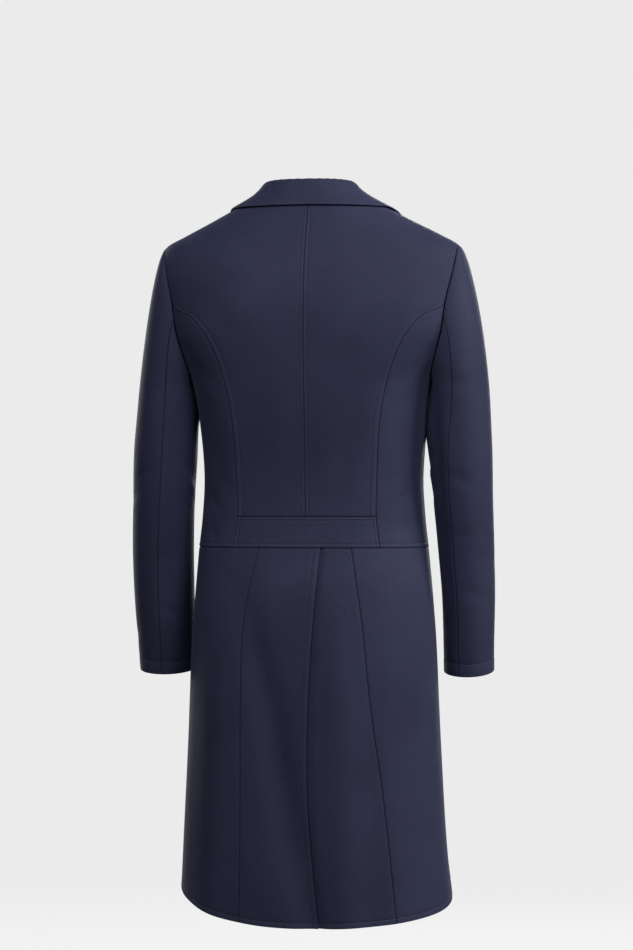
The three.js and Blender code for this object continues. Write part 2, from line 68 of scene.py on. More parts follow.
camera_data = bpy.data.cameras.new("camera")
camera_data.sensor_width = SENSOR
camera_data.lens = SENSOR * VIEW_DISTANCE / PICTURE_HEIGHT
camera = bpy.data.objects.new("camera", camera_data)
bpy.context.scene.collection.objects.link(camera)
view_back = Vector((math.sin(VIEW_TURN), -math.cos(VIEW_TURN), 0))
view_right = Vector((0, 0, 1)).cross(view_back)
camera.location = (Vector((0, 0, VIEW_HEIGHT)) + view_back * VIEW_DISTANCE
                   + view_right * PICTURE_SHIFT)
camera.rotation_euler = view_back.to_track_quat("Z", "Y").to_euler()
bpy.context.scene.camera = camera
print("camera lens in mm:", round(camera_data.lens, 1))

# %% [markdown]
# ## One surface for the body and the tails
#
# A coat's backs, fronts and tails lie on one continuous form. That form is a stack of
# level rings, each a rounded oval (a superellipse). The table gives a ring's level, its
# half widths, its depths, where its widest points lie front to back, and how square it
# is. Values between the rows follow a cubic curve, so the form has no rings to see.
# Sizes are in millimetres here and become metres when a mesh is made.

# %% Ring table and smooth values between its rows
MM = 0.001
RINGS = np.array([
    # level  left right  back front side square
    [  26.0,   66,   58,   50,   46,  10,  2.1],
    [   8.0,   76,   67,   55,   52,  10,  2.1],
    [  -5.0,   86,   79,   60,   58,  10,  2.2],
    [ -26.0,  127,  123,   72,   74,  10,  2.3],
    [ -45.0,  162,  160,   83,   84,  10,  2.3],
    [ -64.0,  198,  198,   93,   92,  10,  2.3],
    [ -82.0,  229,  228,  101,   98,  10,  2.4],
    [-120.0,  240,  240,  114,  110,   6,  2.4],
    [-168.0,  236,  236,  122,  119,   4,  2.4],
    [-213.0,  228,  228,  124,  122,   2,  2.4],
    [-250.0,  211,  211,  122,  122,   0,  2.4],
    [-292.0,  188,  188,  118,  120,   0,  2.4],
    [-361.0,  176,  176,  110,  115,   0,  2.4],
    [-436.0,  170,  170,  101,  107,   0,  2.4],
    [-498.0,  173,  173,   99,  105,   0,  2.4],
    [-545.0,  178,  178,  106,  106,   0,  2.4],
    [-621.0,  184,  185,  125,  108,   0,  2.4],
    [-690.0,  189,  190,  131,  109,   0,  2.4],
    [-845.0,  195,  197,  130,  110,   0,  2.4],
    [-1012.0, 203,  207,  130,  110,   0,  2.4],
    [-1125.0, 208,  220,  131,  110,   0,  2.4],
])


def between(table, at, column):
    """Cubic Hermite curve through one column, with slopes taken across the neighbours."""
    rows = table[np.argsort(table[:, 0])]
    x, y = rows[:, 0], rows[:, column]
    slope = np.gradient(y, x)
    slope[1:-1] = (y[2:] - y[:-2]) / (x[2:] - x[:-2])
    i = np.clip(np.searchsorted(x, at) - 1, 0, len(x) - 2)
    span = x[i + 1] - x[i]
    t = np.clip((at - x[i]) / span, 0, 1)
    return ((2 * t**3 - 3 * t**2 + 1) * y[i] + (t**3 - 2 * t**2 + t) * slope[i] * span
            + (3 * t**2 - 2 * t**3) * y[i + 1] + (t**3 - t**2) * slope[i + 1] * span)


def mix(a, b, t):
    return a + (b - a) * t


def smooth(a, b, value):
    """A soft step from 0 at a to 1 at b."""
    t = np.clip((value - a) / (b - a), 0, 1)
    return t * t * (3 - 2 * t)


def unit(vectors):
    return vectors / np.maximum(np.linalg.norm(vectors, axis=-1, keepdims=True), 1e-9)


def ring_point(side, angle, level):
    """x = half width * cos(angle)^(2/n) and y = depth * sin(angle)^(2/n), signs kept.

    side is 1 for the wearer's left and -1 for the right. The angle is 0 at the side,
    90 at the centre back and -90 at the centre front.
    """
    angle, level = np.broadcast_arrays(angle, level)
    half = between(RINGS, level, 1 if side > 0 else 2)
    depth = np.where(angle >= 0, between(RINGS, level, 3), between(RINGS, level, 4))
    middle = between(RINGS, level, 5)
    power = 2 / between(RINGS, level, 6)
    c, s = np.cos(np.radians(angle)), np.sin(np.radians(angle))
    x = side * half * np.sign(c) * np.abs(c) ** power
    y = middle + np.sign(s) * np.abs(s) ** power * (depth - np.sign(s) * middle)
    return np.stack([x, y, level + 0.0 * x], axis=-1)


def angle_at(side, distance, level, facing):
    """The ring angle that lies this far from the middle, behind (1) or in front (-1)."""
    half = between(RINGS, level, 1 if side > 0 else 2)
    c = np.sign(distance) * (np.abs(distance) / half) ** (between(RINGS, level, 6) / 2)
    return facing * np.degrees(np.arccos(np.clip(c, -1, 1)))


def ring_normal(side, angle, level):
    """Outward unit normal: the cross product of a small turn and a small drop."""
    along = ring_point(side, angle + 0.5, level) - ring_point(side, angle - 0.5, level)
    down = ring_point(side, angle, level + 1) - ring_point(side, angle, level - 1)
    return unit(side * np.cross(along, down))


print("waist half width in mm:", float(between(RINGS, np.array(-545.0), 1)))

# %% [markdown]
# ## Walls of cloth with seams and stitch lines
#
# Each piece is a grid over its own surface function of two parameters, u down the piece
# and v across it. The grid lines are not even. They crowd together at the borders and
# at each stitch line, so that a seam can sink, a stitch line can dent the cloth and a
# free edge can be round, all as true shape and not only as a picture of one.
#
# The distance of every grid point from each border is measured along the surface in
# millimetres. Seams, seam allowances and stitch lines are functions of that distance.

# %% Grid spacing
WALL = 2.0                     # thickness of the cloth
SEAM_LINES = (0.0, 0.35, 0.8, 1.4, 2.2, 3.2)
FREE_LINES = (0.0, 0.12, 0.4, 0.9, 1.6, 2.8)
STITCH_LINES = (-1.5, -0.8, -0.35, 0.0, 0.35, 0.8, 1.5)


def border_lines(kind, stitches):
    """Distances from a border at which grid lines are wanted, in mm."""
    lines = list(FREE_LINES if kind == "free" else SEAM_LINES)
    for distance in stitches:
        lines = [d for d in lines if d < distance - 1.9]
        lines += [distance + step for step in STITCH_LINES]
    return np.array(lines)


def spread(length, start_lines, end_lines, count):
    """Grid positions along a length, crowded at both ends; length may be an array."""
    length = np.asarray(length, float)[..., None]
    fixed = (start_lines[-1] + end_lines[-1]) * 1.15
    fit = np.minimum(length / fixed, 1)
    first = start_lines * fit
    last = length - end_lines[::-1] * fit
    inner = np.linspace(0, 1, count + 2)[1:-1]
    return np.concatenate([first, mix(first[..., -1:], last[..., :1], inner), last], -1)


def running_length(points, axis):
    """Length along one grid direction, from 0 at its first line."""
    step = np.linalg.norm(np.diff(points, axis=axis), axis=-1)
    return np.concatenate([np.zeros_like(np.take(step, [0], axis)),
                           np.cumsum(step, axis=axis)], axis)


# %% Profiles across a seam, a stitch line and a free edge
SEAM_DEPTH = 1.3
SEAM_WIDTH = 1.15
STITCH_DEPTH = 0.5
STITCH_WIDTH = 0.75
ALLOWANCE_RISE = 0.36


def seam_dip(distance, points):
    """The cloth rolls down into the seam as exp(-(distance / width)^2).

    Round the armhole the bulk of the two layers makes the dip a little deeper.
    """
    x, z = np.abs(points[..., 0]), points[..., 2]
    near_arm = smooth(186, 204, x) * smooth(-335, -300, z)
    return -SEAM_DEPTH * (1 + 0.35 * near_arm) * np.exp(-(distance / SEAM_WIDTH) ** 2)


def stitch_dip(distance, stitches):
    """Dents at each stitch line, and the slight rise of the allowance inside it."""
    height = np.zeros_like(distance)
    for line in stitches:
        height -= STITCH_DEPTH * np.exp(-((distance - line) / STITCH_WIDTH) ** 2)
        height += ALLOWANCE_RISE * smooth(line + 0.8, line - 0.8, distance)
    return height


def edge_round(distance, radius=1.0):
    """Half thickness at a free edge: a quarter circle, from nearly 0 to the radius."""
    inside = np.clip(1 - distance / radius, 0, 1)
    return np.maximum(np.sqrt(1 - inside**2), 0.12)


# %% Grid to closed mesh
def wall_mesh(name, outer, inner, across, down):
    """Joins two grids of points in mm into one closed wall with a map in metres."""
    rows, cols = outer.shape[:2]
    index = np.arange(rows * cols).reshape(rows, cols)
    far = index + rows * cols
    a, b, c, d = index[:-1, :-1], index[1:, :-1], index[1:, 1:], index[:-1, 1:]
    front = np.stack([a, b, c, d], -1).reshape(-1, 4)
    back = front[:, ::-1] + rows * cols
    rims = []
    for line, other, turn in ((index[0], far[0], 1), (index[-1], far[-1], -1),
                              (index[:, 0], far[:, 0], -1), (index[:, -1], far[:, -1], 1)):
        rim = np.stack([line[:-1], line[1:], other[1:], other[:-1]], -1)
        rims.append(rim[:, ::turn])
    faces = np.concatenate([front, back, *rims])
    points = np.concatenate([outer.reshape(-1, 3), inner.reshape(-1, 3)]) * MM
    corners = points[faces]
    volume = np.einsum("ij,ij->i", corners[:, 0], np.cross(corners[:, 1], corners[:, 2]))
    volume = volume + np.einsum("ij,ij->i", corners[:, 0],
                                np.cross(corners[:, 2], corners[:, 3]))
    if volume.sum() < 0:
        faces = faces[:, ::-1]
    mesh = bpy.data.meshes.new(name)
    mesh.from_pydata(points.tolist(), [], faces.tolist())
    uv = np.tile(np.stack([across, down], -1).reshape(-1, 2), (2, 1)) * MM
    layer = mesh.uv_layers.new(name="cloth")
    layer.data.foreach_set("uv", uv[faces.ravel()].astype(np.float32).ravel())
    mesh.polygons.foreach_set("use_smooth", np.ones(len(faces), bool))
    edge_of_corner = np.zeros(len(mesh.loops), np.int32)
    mesh.loops.foreach_get("edge_index", edge_of_corner)
    sharp = np.zeros(len(mesh.edges), bool)
    sharp[edge_of_corner[4 * (len(front) + len(back)):]] = True
    mesh.edges.foreach_set("use_edge_sharp", sharp)
    mesh.update()
    piece = bpy.data.objects.new(name, mesh)
    bpy.context.scene.collection.objects.link(piece)
    return piece


# %% One cloth piece from its surface function
PANELS = {}
SHEET_AREA = {}


def cloth_piece(name, surface, borders, row_step=5.5, col_step=7.0, crease=None,
                where=None):
    """Builds a piece from surface(u, v), which gives points and outward normals in mm.

    borders holds, for top, bottom, first and last, the kind ("seam", "free" or "flat")
    and the distances of its stitch lines. crease(u, v, points) lifts the cloth, and
    where holds, for a border, a function of place that fades its stitching in.
    """
    fine_u, fine_v = np.linspace(0, 1, 241), np.linspace(0, 1, 161)
    middle, _ = surface(fine_u[:, None], np.full((1, 1), 0.5))
    drop = running_length(middle, 0)[:, 0]
    down_at = spread(drop[-1], border_lines(*borders["top"]),
                     border_lines(*borders["bottom"]), int(drop[-1] / row_step))
    u = np.interp(down_at, drop, fine_u)
    sweep, _ = surface(u[:, None], fine_v[None, :])
    width = running_length(sweep, 1)
    across_at = spread(width[:, -1], border_lines(*borders["first"]),
                       border_lines(*borders["last"]), int(width[:, -1].max() / col_step))
    v = np.stack([np.interp(at, run, fine_v) for at, run in zip(across_at, width)])
    points, normals = surface(u[:, None] + 0 * v, v)
    across, down = running_length(points, 1), running_length(points, 0)
    from_top = down_at[:, None] + 0 * across
    gap = {"top": from_top, "bottom": drop[-1] - from_top,
           "first": across, "last": across[:, -1:] - across}
    height = np.zeros_like(across) if crease is None else crease(u[:, None], v, points)
    detail = np.zeros_like(height)
    half = np.full_like(height, 1.0)
    for edge, (kind, stitches) in borders.items():
        distance = gap[edge]
        if kind == "seam":
            detail += seam_dip(distance, points)
        if kind == "free":
            half = np.minimum(half, edge_round(distance))
        shown = (where or {}).get(edge, lambda at: 1.0)(points)
        detail += stitch_dip(distance, stitches) * shown
    body = points + normals * (height - WALL / 2)[..., None]
    outer = body + normals * (half * WALL / 2 + detail)[..., None]
    inner = body - normals * (half * WALL / 2)[..., None]
    piece = wall_mesh(f"{name}_cloth", outer, inner, across, down)
    # The seam relief is kept as an attribute, and the cloth material uses it to paint shade into the
    # dips and a lighter tone onto the raised allowances.
    ridge = piece.data.attributes.new("ridge", "FLOAT", "POINT")
    ridge.data.foreach_set("value", np.tile(detail.ravel(), 2).astype(np.float32))
    PANELS[name] = {"piece": piece, "outer": outer, "normals": normals, "borders": borders, "gap": gap,
                    "where": where or {}}
    cell = np.linalg.norm(np.cross(np.diff(points, axis=0)[:, :-1],
                                   np.diff(points, axis=1)[:-1]), axis=-1)
    SHEET_AREA[name] = float(cell.sum()) * MM * MM
    print(name, "faces:", len(piece.data.polygons), "area:", round(SHEET_AREA[name], 4))


print("grid lines at a stitched seam:", border_lines("seam", (8.5,)).round(2).tolist())

# %% [markdown]
# ## The seams of the coat
#
# A seam is a path on the ring surface, given as an angle and a level. The armhole is an
# oval, flatter behind than in front. The princess seam leaves it at the back and curves
# to the waist. Two neighbouring pieces use the same seam function, so they always meet.

# %% Levels, armhole and princess seam
NECK_BACK, NECK_SIDE, NECK_FRONT = -11.0, -5.0, -14.0
SHOULDER_TIP, UNDERARM, LAPEL_BREAK = -82.0, -292.0, -330.0
BELT_TOP, WAIST, HEM_CENTRE, CUFF = -498.0, -545.0, -1120.0, -738.0
ARMHOLE_BACK, ARMHOLE_FRONT, ARMHOLE_ROUND = 29.0, 35.0, 0.7
PRINCESS_TURN, BACK_SEAM_TURN, FRONT_SEAM_TURN = 80.0, 95.0, 225.0
PRINCESS = np.array([
    # level  distance from the middle
    [-169, 211], [-190, 180], [-222, 153], [-260, 135], [-303, 122], [-345, 114],
    [-390, 110], [-442, 108], [-498, 107], [-545, 113]], float)


def armhole(turn):
    """Angle = reach * sin(turn)^0.7 and level = middle + half height * cos(turn)."""
    s, c = np.sin(np.radians(turn)), np.cos(np.radians(turn))
    reach = np.where(s >= 0, ARMHOLE_BACK, ARMHOLE_FRONT)
    middle, half = (SHOULDER_TIP + UNDERARM) / 2, (SHOULDER_TIP - UNDERARM) / 2
    return np.sign(s) * reach * np.abs(s) ** ARMHOLE_ROUND, middle + half * c


princess_angle, princess_level = (float(v) for v in armhole(PRINCESS_TURN))


def princess(side, level):
    along = angle_at(side, between(PRINCESS, level, 1), level, 1)
    return mix(princess_angle, along, smooth(princess_level, princess_level - 22, level))


def stretch(u, start, end):
    """How far u lies between two marks, from 0 to 1."""
    return np.clip((u - start) / (end - start), 0, 1)


def coat_surface(side, first, last, lift=None, bend=None):
    """Surface between two seams: angle and level run straight from first to last."""
    def surface(u, v):
        u, v = np.broadcast_arrays(u, v)
        (a0, z0), (a1, z1) = first(u), last(u)
        angle, level = mix(a0, a1, v), mix(z0, z1, v)
        if bend is not None:
            level = bend(u, angle, level)
        points, normals = ring_point(side, angle, level), ring_normal(side, angle, level)
        if lift is not None:
            points = points + normals * lift(angle, level)[..., None]
        return points, normals
    return surface


print("princess seam starts at angle and level:", round(princess_angle, 1),
      round(princess_level, 1))

# %% [markdown]
# ## Soft creases
#
# Softshell is smooth and springy, so the coat has few folds: shallow hollows where the
# waist nips in, long waves down the tails, and short ones at the elbows. Each crease is
# listed as a soft ridge or trough with its own length, width and depth. It is a
# function of place alone, so two pieces rise and fall together across their seam.

# %% Crease tables
BODY_CREASES = np.array([
    # x     y     z   length width lean height, one row for each ridge or trough, in mm
    [ 152,   60, -468,   34,   8,  0.9, -2.2],
    [ 160,   50, -496,   32,   7,  0.7,  1.9],
    [ 148,   66, -520,   26,   6,  0.5, -2.0],
    [ 128,   80, -446,   40,  10,  1.0, -1.1],
    [-152,   58, -462,   40,   8, -0.9, -2.2],
    [-160,   50, -490,   28,   7, -0.7,  1.7],
    [-146,   66, -516,   30,   7, -0.4, -2.2],
    [-126,   80, -438,   36,  10, -1.1, -1.0],
    [  60,  100, -440,   70,  16,  0.2, -1.0],
    [ -52,  101, -455,   80,  17, -0.2, -1.1],
    [  76,  112, -290,  120,  22,  0.1, -1.1],
    [ -70,  113, -320,  130,  22, -0.1, -1.2],
    [   0,  110, -370,   90,  26,  0.0, -0.8],
    [ 120,  105, -210,   55,  18,  0.8, -1.4],
    [-124,  104, -205,   58,  18, -0.8, -1.3],
    [ 184,   72, -250,   44,   9,  0.9, -2.4],
    [-184,   72, -246,   46,  10, -0.9, -2.6],
    [ 168,   78, -290,   46,   9,  1.2,  1.5],
    [-170,   78, -286,   44,   9, -1.2,  1.6],
    [ 118,  100, -410,  105,  19,  0.0,  2.4],
    [-118,  100, -400,  100,  19,  0.0,  1.2],
    [ 158,   74, -380,   80,  16,  0.1, -2.0],
    [-160,   74, -430,   60,  13, -0.1, -1.6],
    [ 120, -100, -420,   60,  16,  0.8, -1.5],
    [-116, -101, -410,   55,  15, -0.8, -1.3],
    [  50, -112, -380,   45,  12,  1.2, -1.1],
    [ -44, -112, -450,   50,  13, -1.0, -1.2],
    [ 130, -100, -500,   40,  11,  0.3, -1.5],
    [-134,  -98, -495,   44,  11, -0.3, -1.3],
    [ 188,  -50, -268,   46,  11,  1.0, -2.4],
    [-188,  -50, -272,   44,  11, -1.0, -2.2],
    [ 180,  -40, -318,   40,  10,  0.7,  1.4],
    [-181,  -40, -324,   38,  10, -0.7,  1.4],
], float)
TAIL_WAVES = np.array([
    # x at waist, x at hem, width, start level, height
    [ 104,  -16,  23, -610, -9.0],
    [  60,   66,  26, -800,  1.8],
    [ -45,  -66,  30, -600,  4.5],
    [ 128,  140,  26, -640,  3.0],
    [-150, -176,  24, -660, -2.6],
    [ 172,  184,  20, -700, -2.2],
    [ -98, -108,  20, -720, -1.6],
], float)


def body_crease(points):
    """Sum of long Gaussians; each leans by so many mm sideways per mm of height."""
    height = np.zeros(points.shape[:-1])
    for x, y, z, length, width, lean, rise in BODY_CREASES:
        along = np.array([lean, 0.0, 1.0]) / math.hypot(lean, 1.0)
        offset = points - np.array([x, y, z])
        run = offset @ along
        off = np.linalg.norm(offset - run[..., None] * along, axis=-1)
        height += rise * np.exp(-(run / length) ** 2 - (off / width) ** 2)
    return height


def tail_wave(points):
    """Waves down the tails, which grow from nothing below the waist seam."""
    x, z = points[..., 0], points[..., 2]
    fall = stretch(-z, -WAIST, -HEM_CENTRE)
    behind = smooth(20, 80, points[..., 1])
    height = np.zeros_like(x)
    for top, low, width, start, rise in TAIL_WAVES:
        centre = mix(top, low, fall)
        grow = smooth(-start - 60, -start + 150, -z)
        height += rise * grow * behind * np.exp(-((x - centre) / width) ** 2)
    return height


arm_seam = ring_point(1, *armhole(np.linspace(0, 360, 90)))


def clear_of_armhole(points):
    """0 on the armhole seam, rising as 1 - exp(-(distance / 12 mm)^2) away from it."""
    mirrored = np.concatenate([np.abs(points[..., :1]), points[..., 1:]], axis=-1)
    square = sum((mirrored[..., k, None] - arm_seam[:, k]) ** 2 for k in range(3))
    return 1 - np.exp(-square.min(axis=-1) / 12**2)


def coat_crease(u, v, points):
    above = smooth(WAIST - 30, WAIST + 6, points[..., 2])
    return (body_crease(points) * above * clear_of_armhole(points)
            + tail_wave(points))


print("creases placed by hand:", len(BODY_CREASES) + len(TAIL_WAVES))

# %% [markdown]
# ## The back, side backs and belt
#
# The two backs meet in a centre seam with a row of topstitching on each side. The curved
# princess seam has one row of topstitching on its inner side, and the inset belt is
# stitched along its top and its ends.

# %% Backs
CENTRE_STITCH, PRINCESS_STITCH, BELT_STITCH, WAIST_STITCH = 4.6, 8.6, 4.8, 6.0
SHOULDER_END, PRINCESS_START = 0.17, 0.40


def back_outline(side):
    def last(u):
        shoulder = stretch(u, 0, SHOULDER_END)
        turn = PRINCESS_TURN * stretch(u, SHOULDER_END, PRINCESS_START)
        arm_angle, arm_level = armhole(turn)
        seam_level = mix(princess_level, BELT_TOP, stretch(u, PRINCESS_START, 1))
        angle = np.where(u <= PRINCESS_START, arm_angle, princess(side, seam_level))
        level = np.where(u <= PRINCESS_START, arm_level, seam_level)
        level = np.where(u <= SHOULDER_END, mix(NECK_SIDE, SHOULDER_TIP, shoulder), level)
        return angle, level

    def first(u):
        level = np.interp(u, [0, SHOULDER_END, PRINCESS_START, 1],
                          [NECK_BACK, SHOULDER_TIP, princess_level, BELT_TOP])
        return 90.0 + 0 * u, level
    return first, last


def only_below(level):
    """Stitching starts softly below a level."""
    return lambda points: smooth(level + 4, level - 4, points[..., 2])


for side, word in ((1, "left"), (-1, "right")):
    first, last = back_outline(side)
    cloth_piece(
        f"back_{word}", coat_surface(side, first, last),
        {"top": ("seam", ()), "bottom": ("seam", ()),
         "first": ("seam", (CENTRE_STITCH,)), "last": ("seam", (PRINCESS_STITCH,))},
        crease=coat_crease, where={"last": only_below(princess_level - 6)})

# %% Side backs
UNDERARM_MARK = 0.4


def side_back_outline(side):
    def first(u):
        level = np.interp(u, [0, UNDERARM_MARK, 1],
                          [princess_level - 1.5, UNDERARM - 16, WAIST])
        return princess(side, level), level

    def last(u):
        turn = mix(PRINCESS_TURN, 180.0, stretch(u, 0, UNDERARM_MARK))
        arm_angle, arm_level = armhole(turn)
        below = u > UNDERARM_MARK
        level = np.where(below, mix(UNDERARM, WAIST, stretch(u, UNDERARM_MARK, 1)),
                         arm_level)
        return np.where(below, 0.0, arm_angle), level
    return first, last


for side, word in ((1, "left"), (-1, "right")):
    first, last = side_back_outline(side)
    cloth_piece(
        f"side_back_{word}", coat_surface(side, first, last),
        {"top": ("flat", ()), "bottom": ("seam", (WAIST_STITCH,)),
         "first": ("seam", ()), "last": ("seam", ())}, crease=coat_crease)

# %% Belt
def belt_first(u):
    level = mix(BELT_TOP, WAIST, u)
    return princess(1, level), level


def belt_last(u):
    level = mix(BELT_TOP, WAIST, u)
    return 180 - princess(-1, level), level


cloth_piece(
    "back_belt", coat_surface(1, belt_first, belt_last),
    {"top": ("seam", (BELT_STITCH,)), "bottom": ("seam", (WAIST_STITCH,)),
     "first": ("seam", (BELT_STITCH,)), "last": ("seam", (BELT_STITCH,))},
    crease=coat_crease, row_step=4.0)

# %% [markdown]
# ## The fronts and lapels
#
# The coat closes left over right. Above the break the front folds back as a lapel: what
# shows there is the facing, a piece of its own that lies on the front. The right front
# steps back under the left one by a little more than the thickness of the cloth.

# %% Front edge
ROLL_TOP_LEVEL, ROLL_TOP, ROLL_END = -40.0, 66.0, 2.0
NECK_FRONT_REACH, OVERLAP_ANGLE, TURN_HEIGHT = 74.0, 94.0, 22.0
UNDERLAP, FRONT_POINT = 3.2, 30.0


def front_edge(side, level):
    """The roll line from neck to break, then the closed edge past the middle."""
    slope = (ROLL_TOP - ROLL_END) / (ROLL_TOP_LEVEL - LAPEL_BREAK)
    roll = ROLL_TOP + (np.maximum(level, LAPEL_BREAK) - ROLL_TOP_LEVEL) * slope
    near_neck = stretch(level, ROLL_TOP_LEVEL, NECK_FRONT)
    reach = np.where(level > ROLL_TOP_LEVEL, mix(ROLL_TOP, NECK_FRONT_REACH, near_neck),
                     roll)
    angle = angle_at(side, reach, level, -1)
    return mix(angle, -OVERLAP_ANGLE, smooth(LAPEL_BREAK, LAPEL_BREAK - TURN_HEIGHT, level))


def front_outline(side):
    marks = [0, 0.17, 0.50, 0.57, 1]

    def first(u):
        shoulder = mix(NECK_SIDE, SHOULDER_TIP, stretch(u, 0, marks[1]))
        arm_angle, arm_level = armhole(mix(360.0, 180.0, stretch(u, marks[1], marks[2])))
        level = np.where(u <= marks[1], shoulder, arm_level)
        level = np.where(u > marks[2], mix(UNDERARM, WAIST, stretch(u, marks[2], 1)), level)
        inside = (u > marks[1]) & (u <= marks[2])
        return np.where(inside, arm_angle, 0.0), level

    def last(u):
        level = np.interp(u, marks, [NECK_FRONT, SHOULDER_TIP, UNDERARM, LAPEL_BREAK, WAIST])
        return front_edge(side, level), level
    return first, last


def front_bend(u, angle, level):
    """Below the waist the fronts dip to a shallow point at the centre."""
    return level - FRONT_POINT * smooth(-44, -90, angle) * smooth(0.75, 1, u)


for side, word in ((1, "left"), (-1, "right")):
    first, last = front_outline(side)
    step_back = None if side > 0 else lambda angle, level: -UNDERLAP * smooth(-64, -78, angle)
    cloth_piece(
        f"front_{word}", coat_surface(side, first, last, step_back, front_bend),
        {"top": ("seam", ()), "bottom": ("free", (WAIST_STITCH,)),
         "first": ("seam", ()), "last": ("free", (6.0,))}, crease=coat_crease)

# %% Lapels
LAPEL_LIFT, GORGE_LEVEL = 2.8, -64.0
LAPEL_EDGE = np.array([
    # level  distance from the middle
    [-98, 128], [-140, 121], [-200, 95], [-260, 57], [-322, 8]], float)


def lapel_outline(side):
    def first(u):
        level = mix(GORGE_LEVEL, LAPEL_BREAK + 8, u)
        return front_edge(side, level), level

    def last(u):
        level = mix(LAPEL_EDGE[0, 0], LAPEL_EDGE[-1, 0], u)
        return angle_at(side, between(LAPEL_EDGE, level, 1), level, -1), level
    return first, last


for side, word in ((1, "left"), (-1, "right")):
    first, last = lapel_outline(side)
    cloth_piece(
        f"lapel_{word}", coat_surface(side, first, last, lambda a, z: LAPEL_LIFT + 0 * a),
        {"top": ("free", ()), "bottom": ("free", ()),
         "first": ("free", ()), "last": ("free", (6.0,))}, crease=coat_crease)

# %% [markdown]
# ## The collar
#
# The collar is one folded wall: a stand that rises from the neck seam, a roll, and a leaf
# that falls over it onto the shoulders. Stations round the neck give the place of the
# seam, the roll and the leaf's edge, and a smooth curve through eight points makes each
# cross-section.

# %% Collar
COLLAR = np.array([
    # station  seam       roll        leaf edge, each as angle and level
    [0,  90, -10.7,  90, 19,      90, -22],
    [1,  62,  -8.7,  61, 19,      63, -23],
    [2,  32,  -6.7,  31, 18,      36, -24],
    [3,   0,  -4.6,   0, 15,       4, -25],
    [4, -26,  -8.2, -25,  5,     -24, -37],
    [5, -50, -12.0, -50, -8,     -44, -54],
    [6, -74, -34.0, -70, -36,    -58, -68],
    [7, -79, -55.0, -76.5, -58.5, -62, -75]], float)
# Share of the way from seam to roll, or from roll to edge, and the lift off the rings.
COLLAR_STAND = ((0, -1), (0.5, -1.4), (0.88, -1.6))
COLLAR_ROLL = ((1, 0.8),)
COLLAR_LEAF = ((0.1, 3.2), (0.35, 5.2), (0.65, 4.6), (1, 2.4))


COLLAR_STITCH = 6.0


def through_points(control, v):
    """A Catmull-Rom curve through the points of each row of control, at v from 0 to 1."""
    count = control.shape[1]
    place = np.clip(v, 0, 1) * (count - 1)
    i = np.clip(place.astype(int), 0, count - 2)
    t = (place - i)[..., None]
    row = np.arange(control.shape[0])[:, None]
    p0, p1, p2, p3 = (control[row, np.clip(i + k, 0, count - 1)] for k in (-1, 0, 1, 2))
    return 0.5 * (2 * p1 + (p2 - p0) * t + (2 * p0 - 5 * p1 + 4 * p2 - p3) * t**2
                  + (3 * p1 - p0 - 3 * p2 + p3) * t**3)


def collar_control(side, station):
    seam_a, seam_z, roll_a, roll_z, edge_a, edge_z = (
        between(COLLAR, station, column) for column in range(1, 7))
    points = []
    for (a0, z0, a1, z1), shares in (((seam_a, seam_z, roll_a, roll_z),
                                      COLLAR_STAND + COLLAR_ROLL),
                                     ((roll_a, roll_z, edge_a, edge_z), COLLAR_LEAF)):
        for share, lift in shares:
            angle, level = mix(a0, a1, share), mix(z0, z1, share)
            points.append(ring_point(side, angle, level)
                          + lift * ring_normal(side, angle, level))
    return np.stack(points, axis=1)


def collar_points(u, v):
    """u runs from the left notch (0) round the back (0.5) to the right notch (1)."""
    u, v = np.broadcast_arrays(u, v)
    around = u[:, 0] * 2 - 1
    station = np.abs(around) * COLLAR[-1, 0]
    left, right = collar_control(1, station), collar_control(-1, station)
    control = np.where((around < 0)[:, None, None], left, right)
    return through_points(control, v)


def collar_surface(u, v):
    step = 0.002
    points = collar_points(u, v)
    along = collar_points(np.clip(u + step, 0, 1), v) - collar_points(np.clip(u - step, 0, 1), v)
    across = (collar_points(u, np.clip(v + step, 0, 1))
              - collar_points(u, np.clip(v - step, 0, 1)))
    return points, unit(np.cross(along, across))


cloth_piece(
    "collar", collar_surface,
    {"top": ("free", ()), "bottom": ("free", ()),
     "first": ("seam", ()), "last": ("free", (COLLAR_STITCH,))},
    row_step=3.5, col_step=2.2)

# %% [markdown]
# ## The tails
#
# Each tail is sewn from a back piece and a side piece with one long seam. The left tail
# laps over the right at the vent, the side edges slant back from the waist, and the hem
# drops in a shallow curve with a rounded corner.

# %% Tails
TAIL_SEAMS = np.array([
    # level  seam left  right  vent  under
    [ -545,      71,      71,  -24,   24],
    [ -655,      93,      89,  -16,   24],
    [ -790,      97,     103,   -8,   22],
    [ -915,      97,     120,   -7,   20],
    [-1040,      98,     134,  -16,   10],
    [-1120,      99,     142,  -25,    3]], float)
HEM_RISE = {1: 32.0, -1: 18.0}
HEM_TURN, HEM_POWER, CORNER_RADIUS = 62.0, 1.6, 34.0
FRONT_AT_WAIST, FRONT_AT_HEM, FRONT_SLANT = -40.0, -9.0, 0.8
VENT_STITCH, HEM_STITCH, TAIL_STITCH = 8.6, 8.0, 8.0


def hem_level(side, angle):
    """Centre level + rise * ((90 - angle) / 62)^1.6, and a rounded corner in front."""
    corner = ring_point(side, np.array(FRONT_AT_HEM), np.array(HEM_CENTRE))
    away = np.linalg.norm(ring_point(side, angle, HEM_CENTRE + 0 * angle) - corner, axis=-1)
    inside = 1 - np.minimum(away / CORNER_RADIUS, 1)
    side_rise = HEM_RISE[side] * (np.maximum(90 - angle, 0) / HEM_TURN) ** HEM_POWER
    return HEM_CENTRE + side_rise + CORNER_RADIUS * (1 - np.sqrt(1 - inside**2))


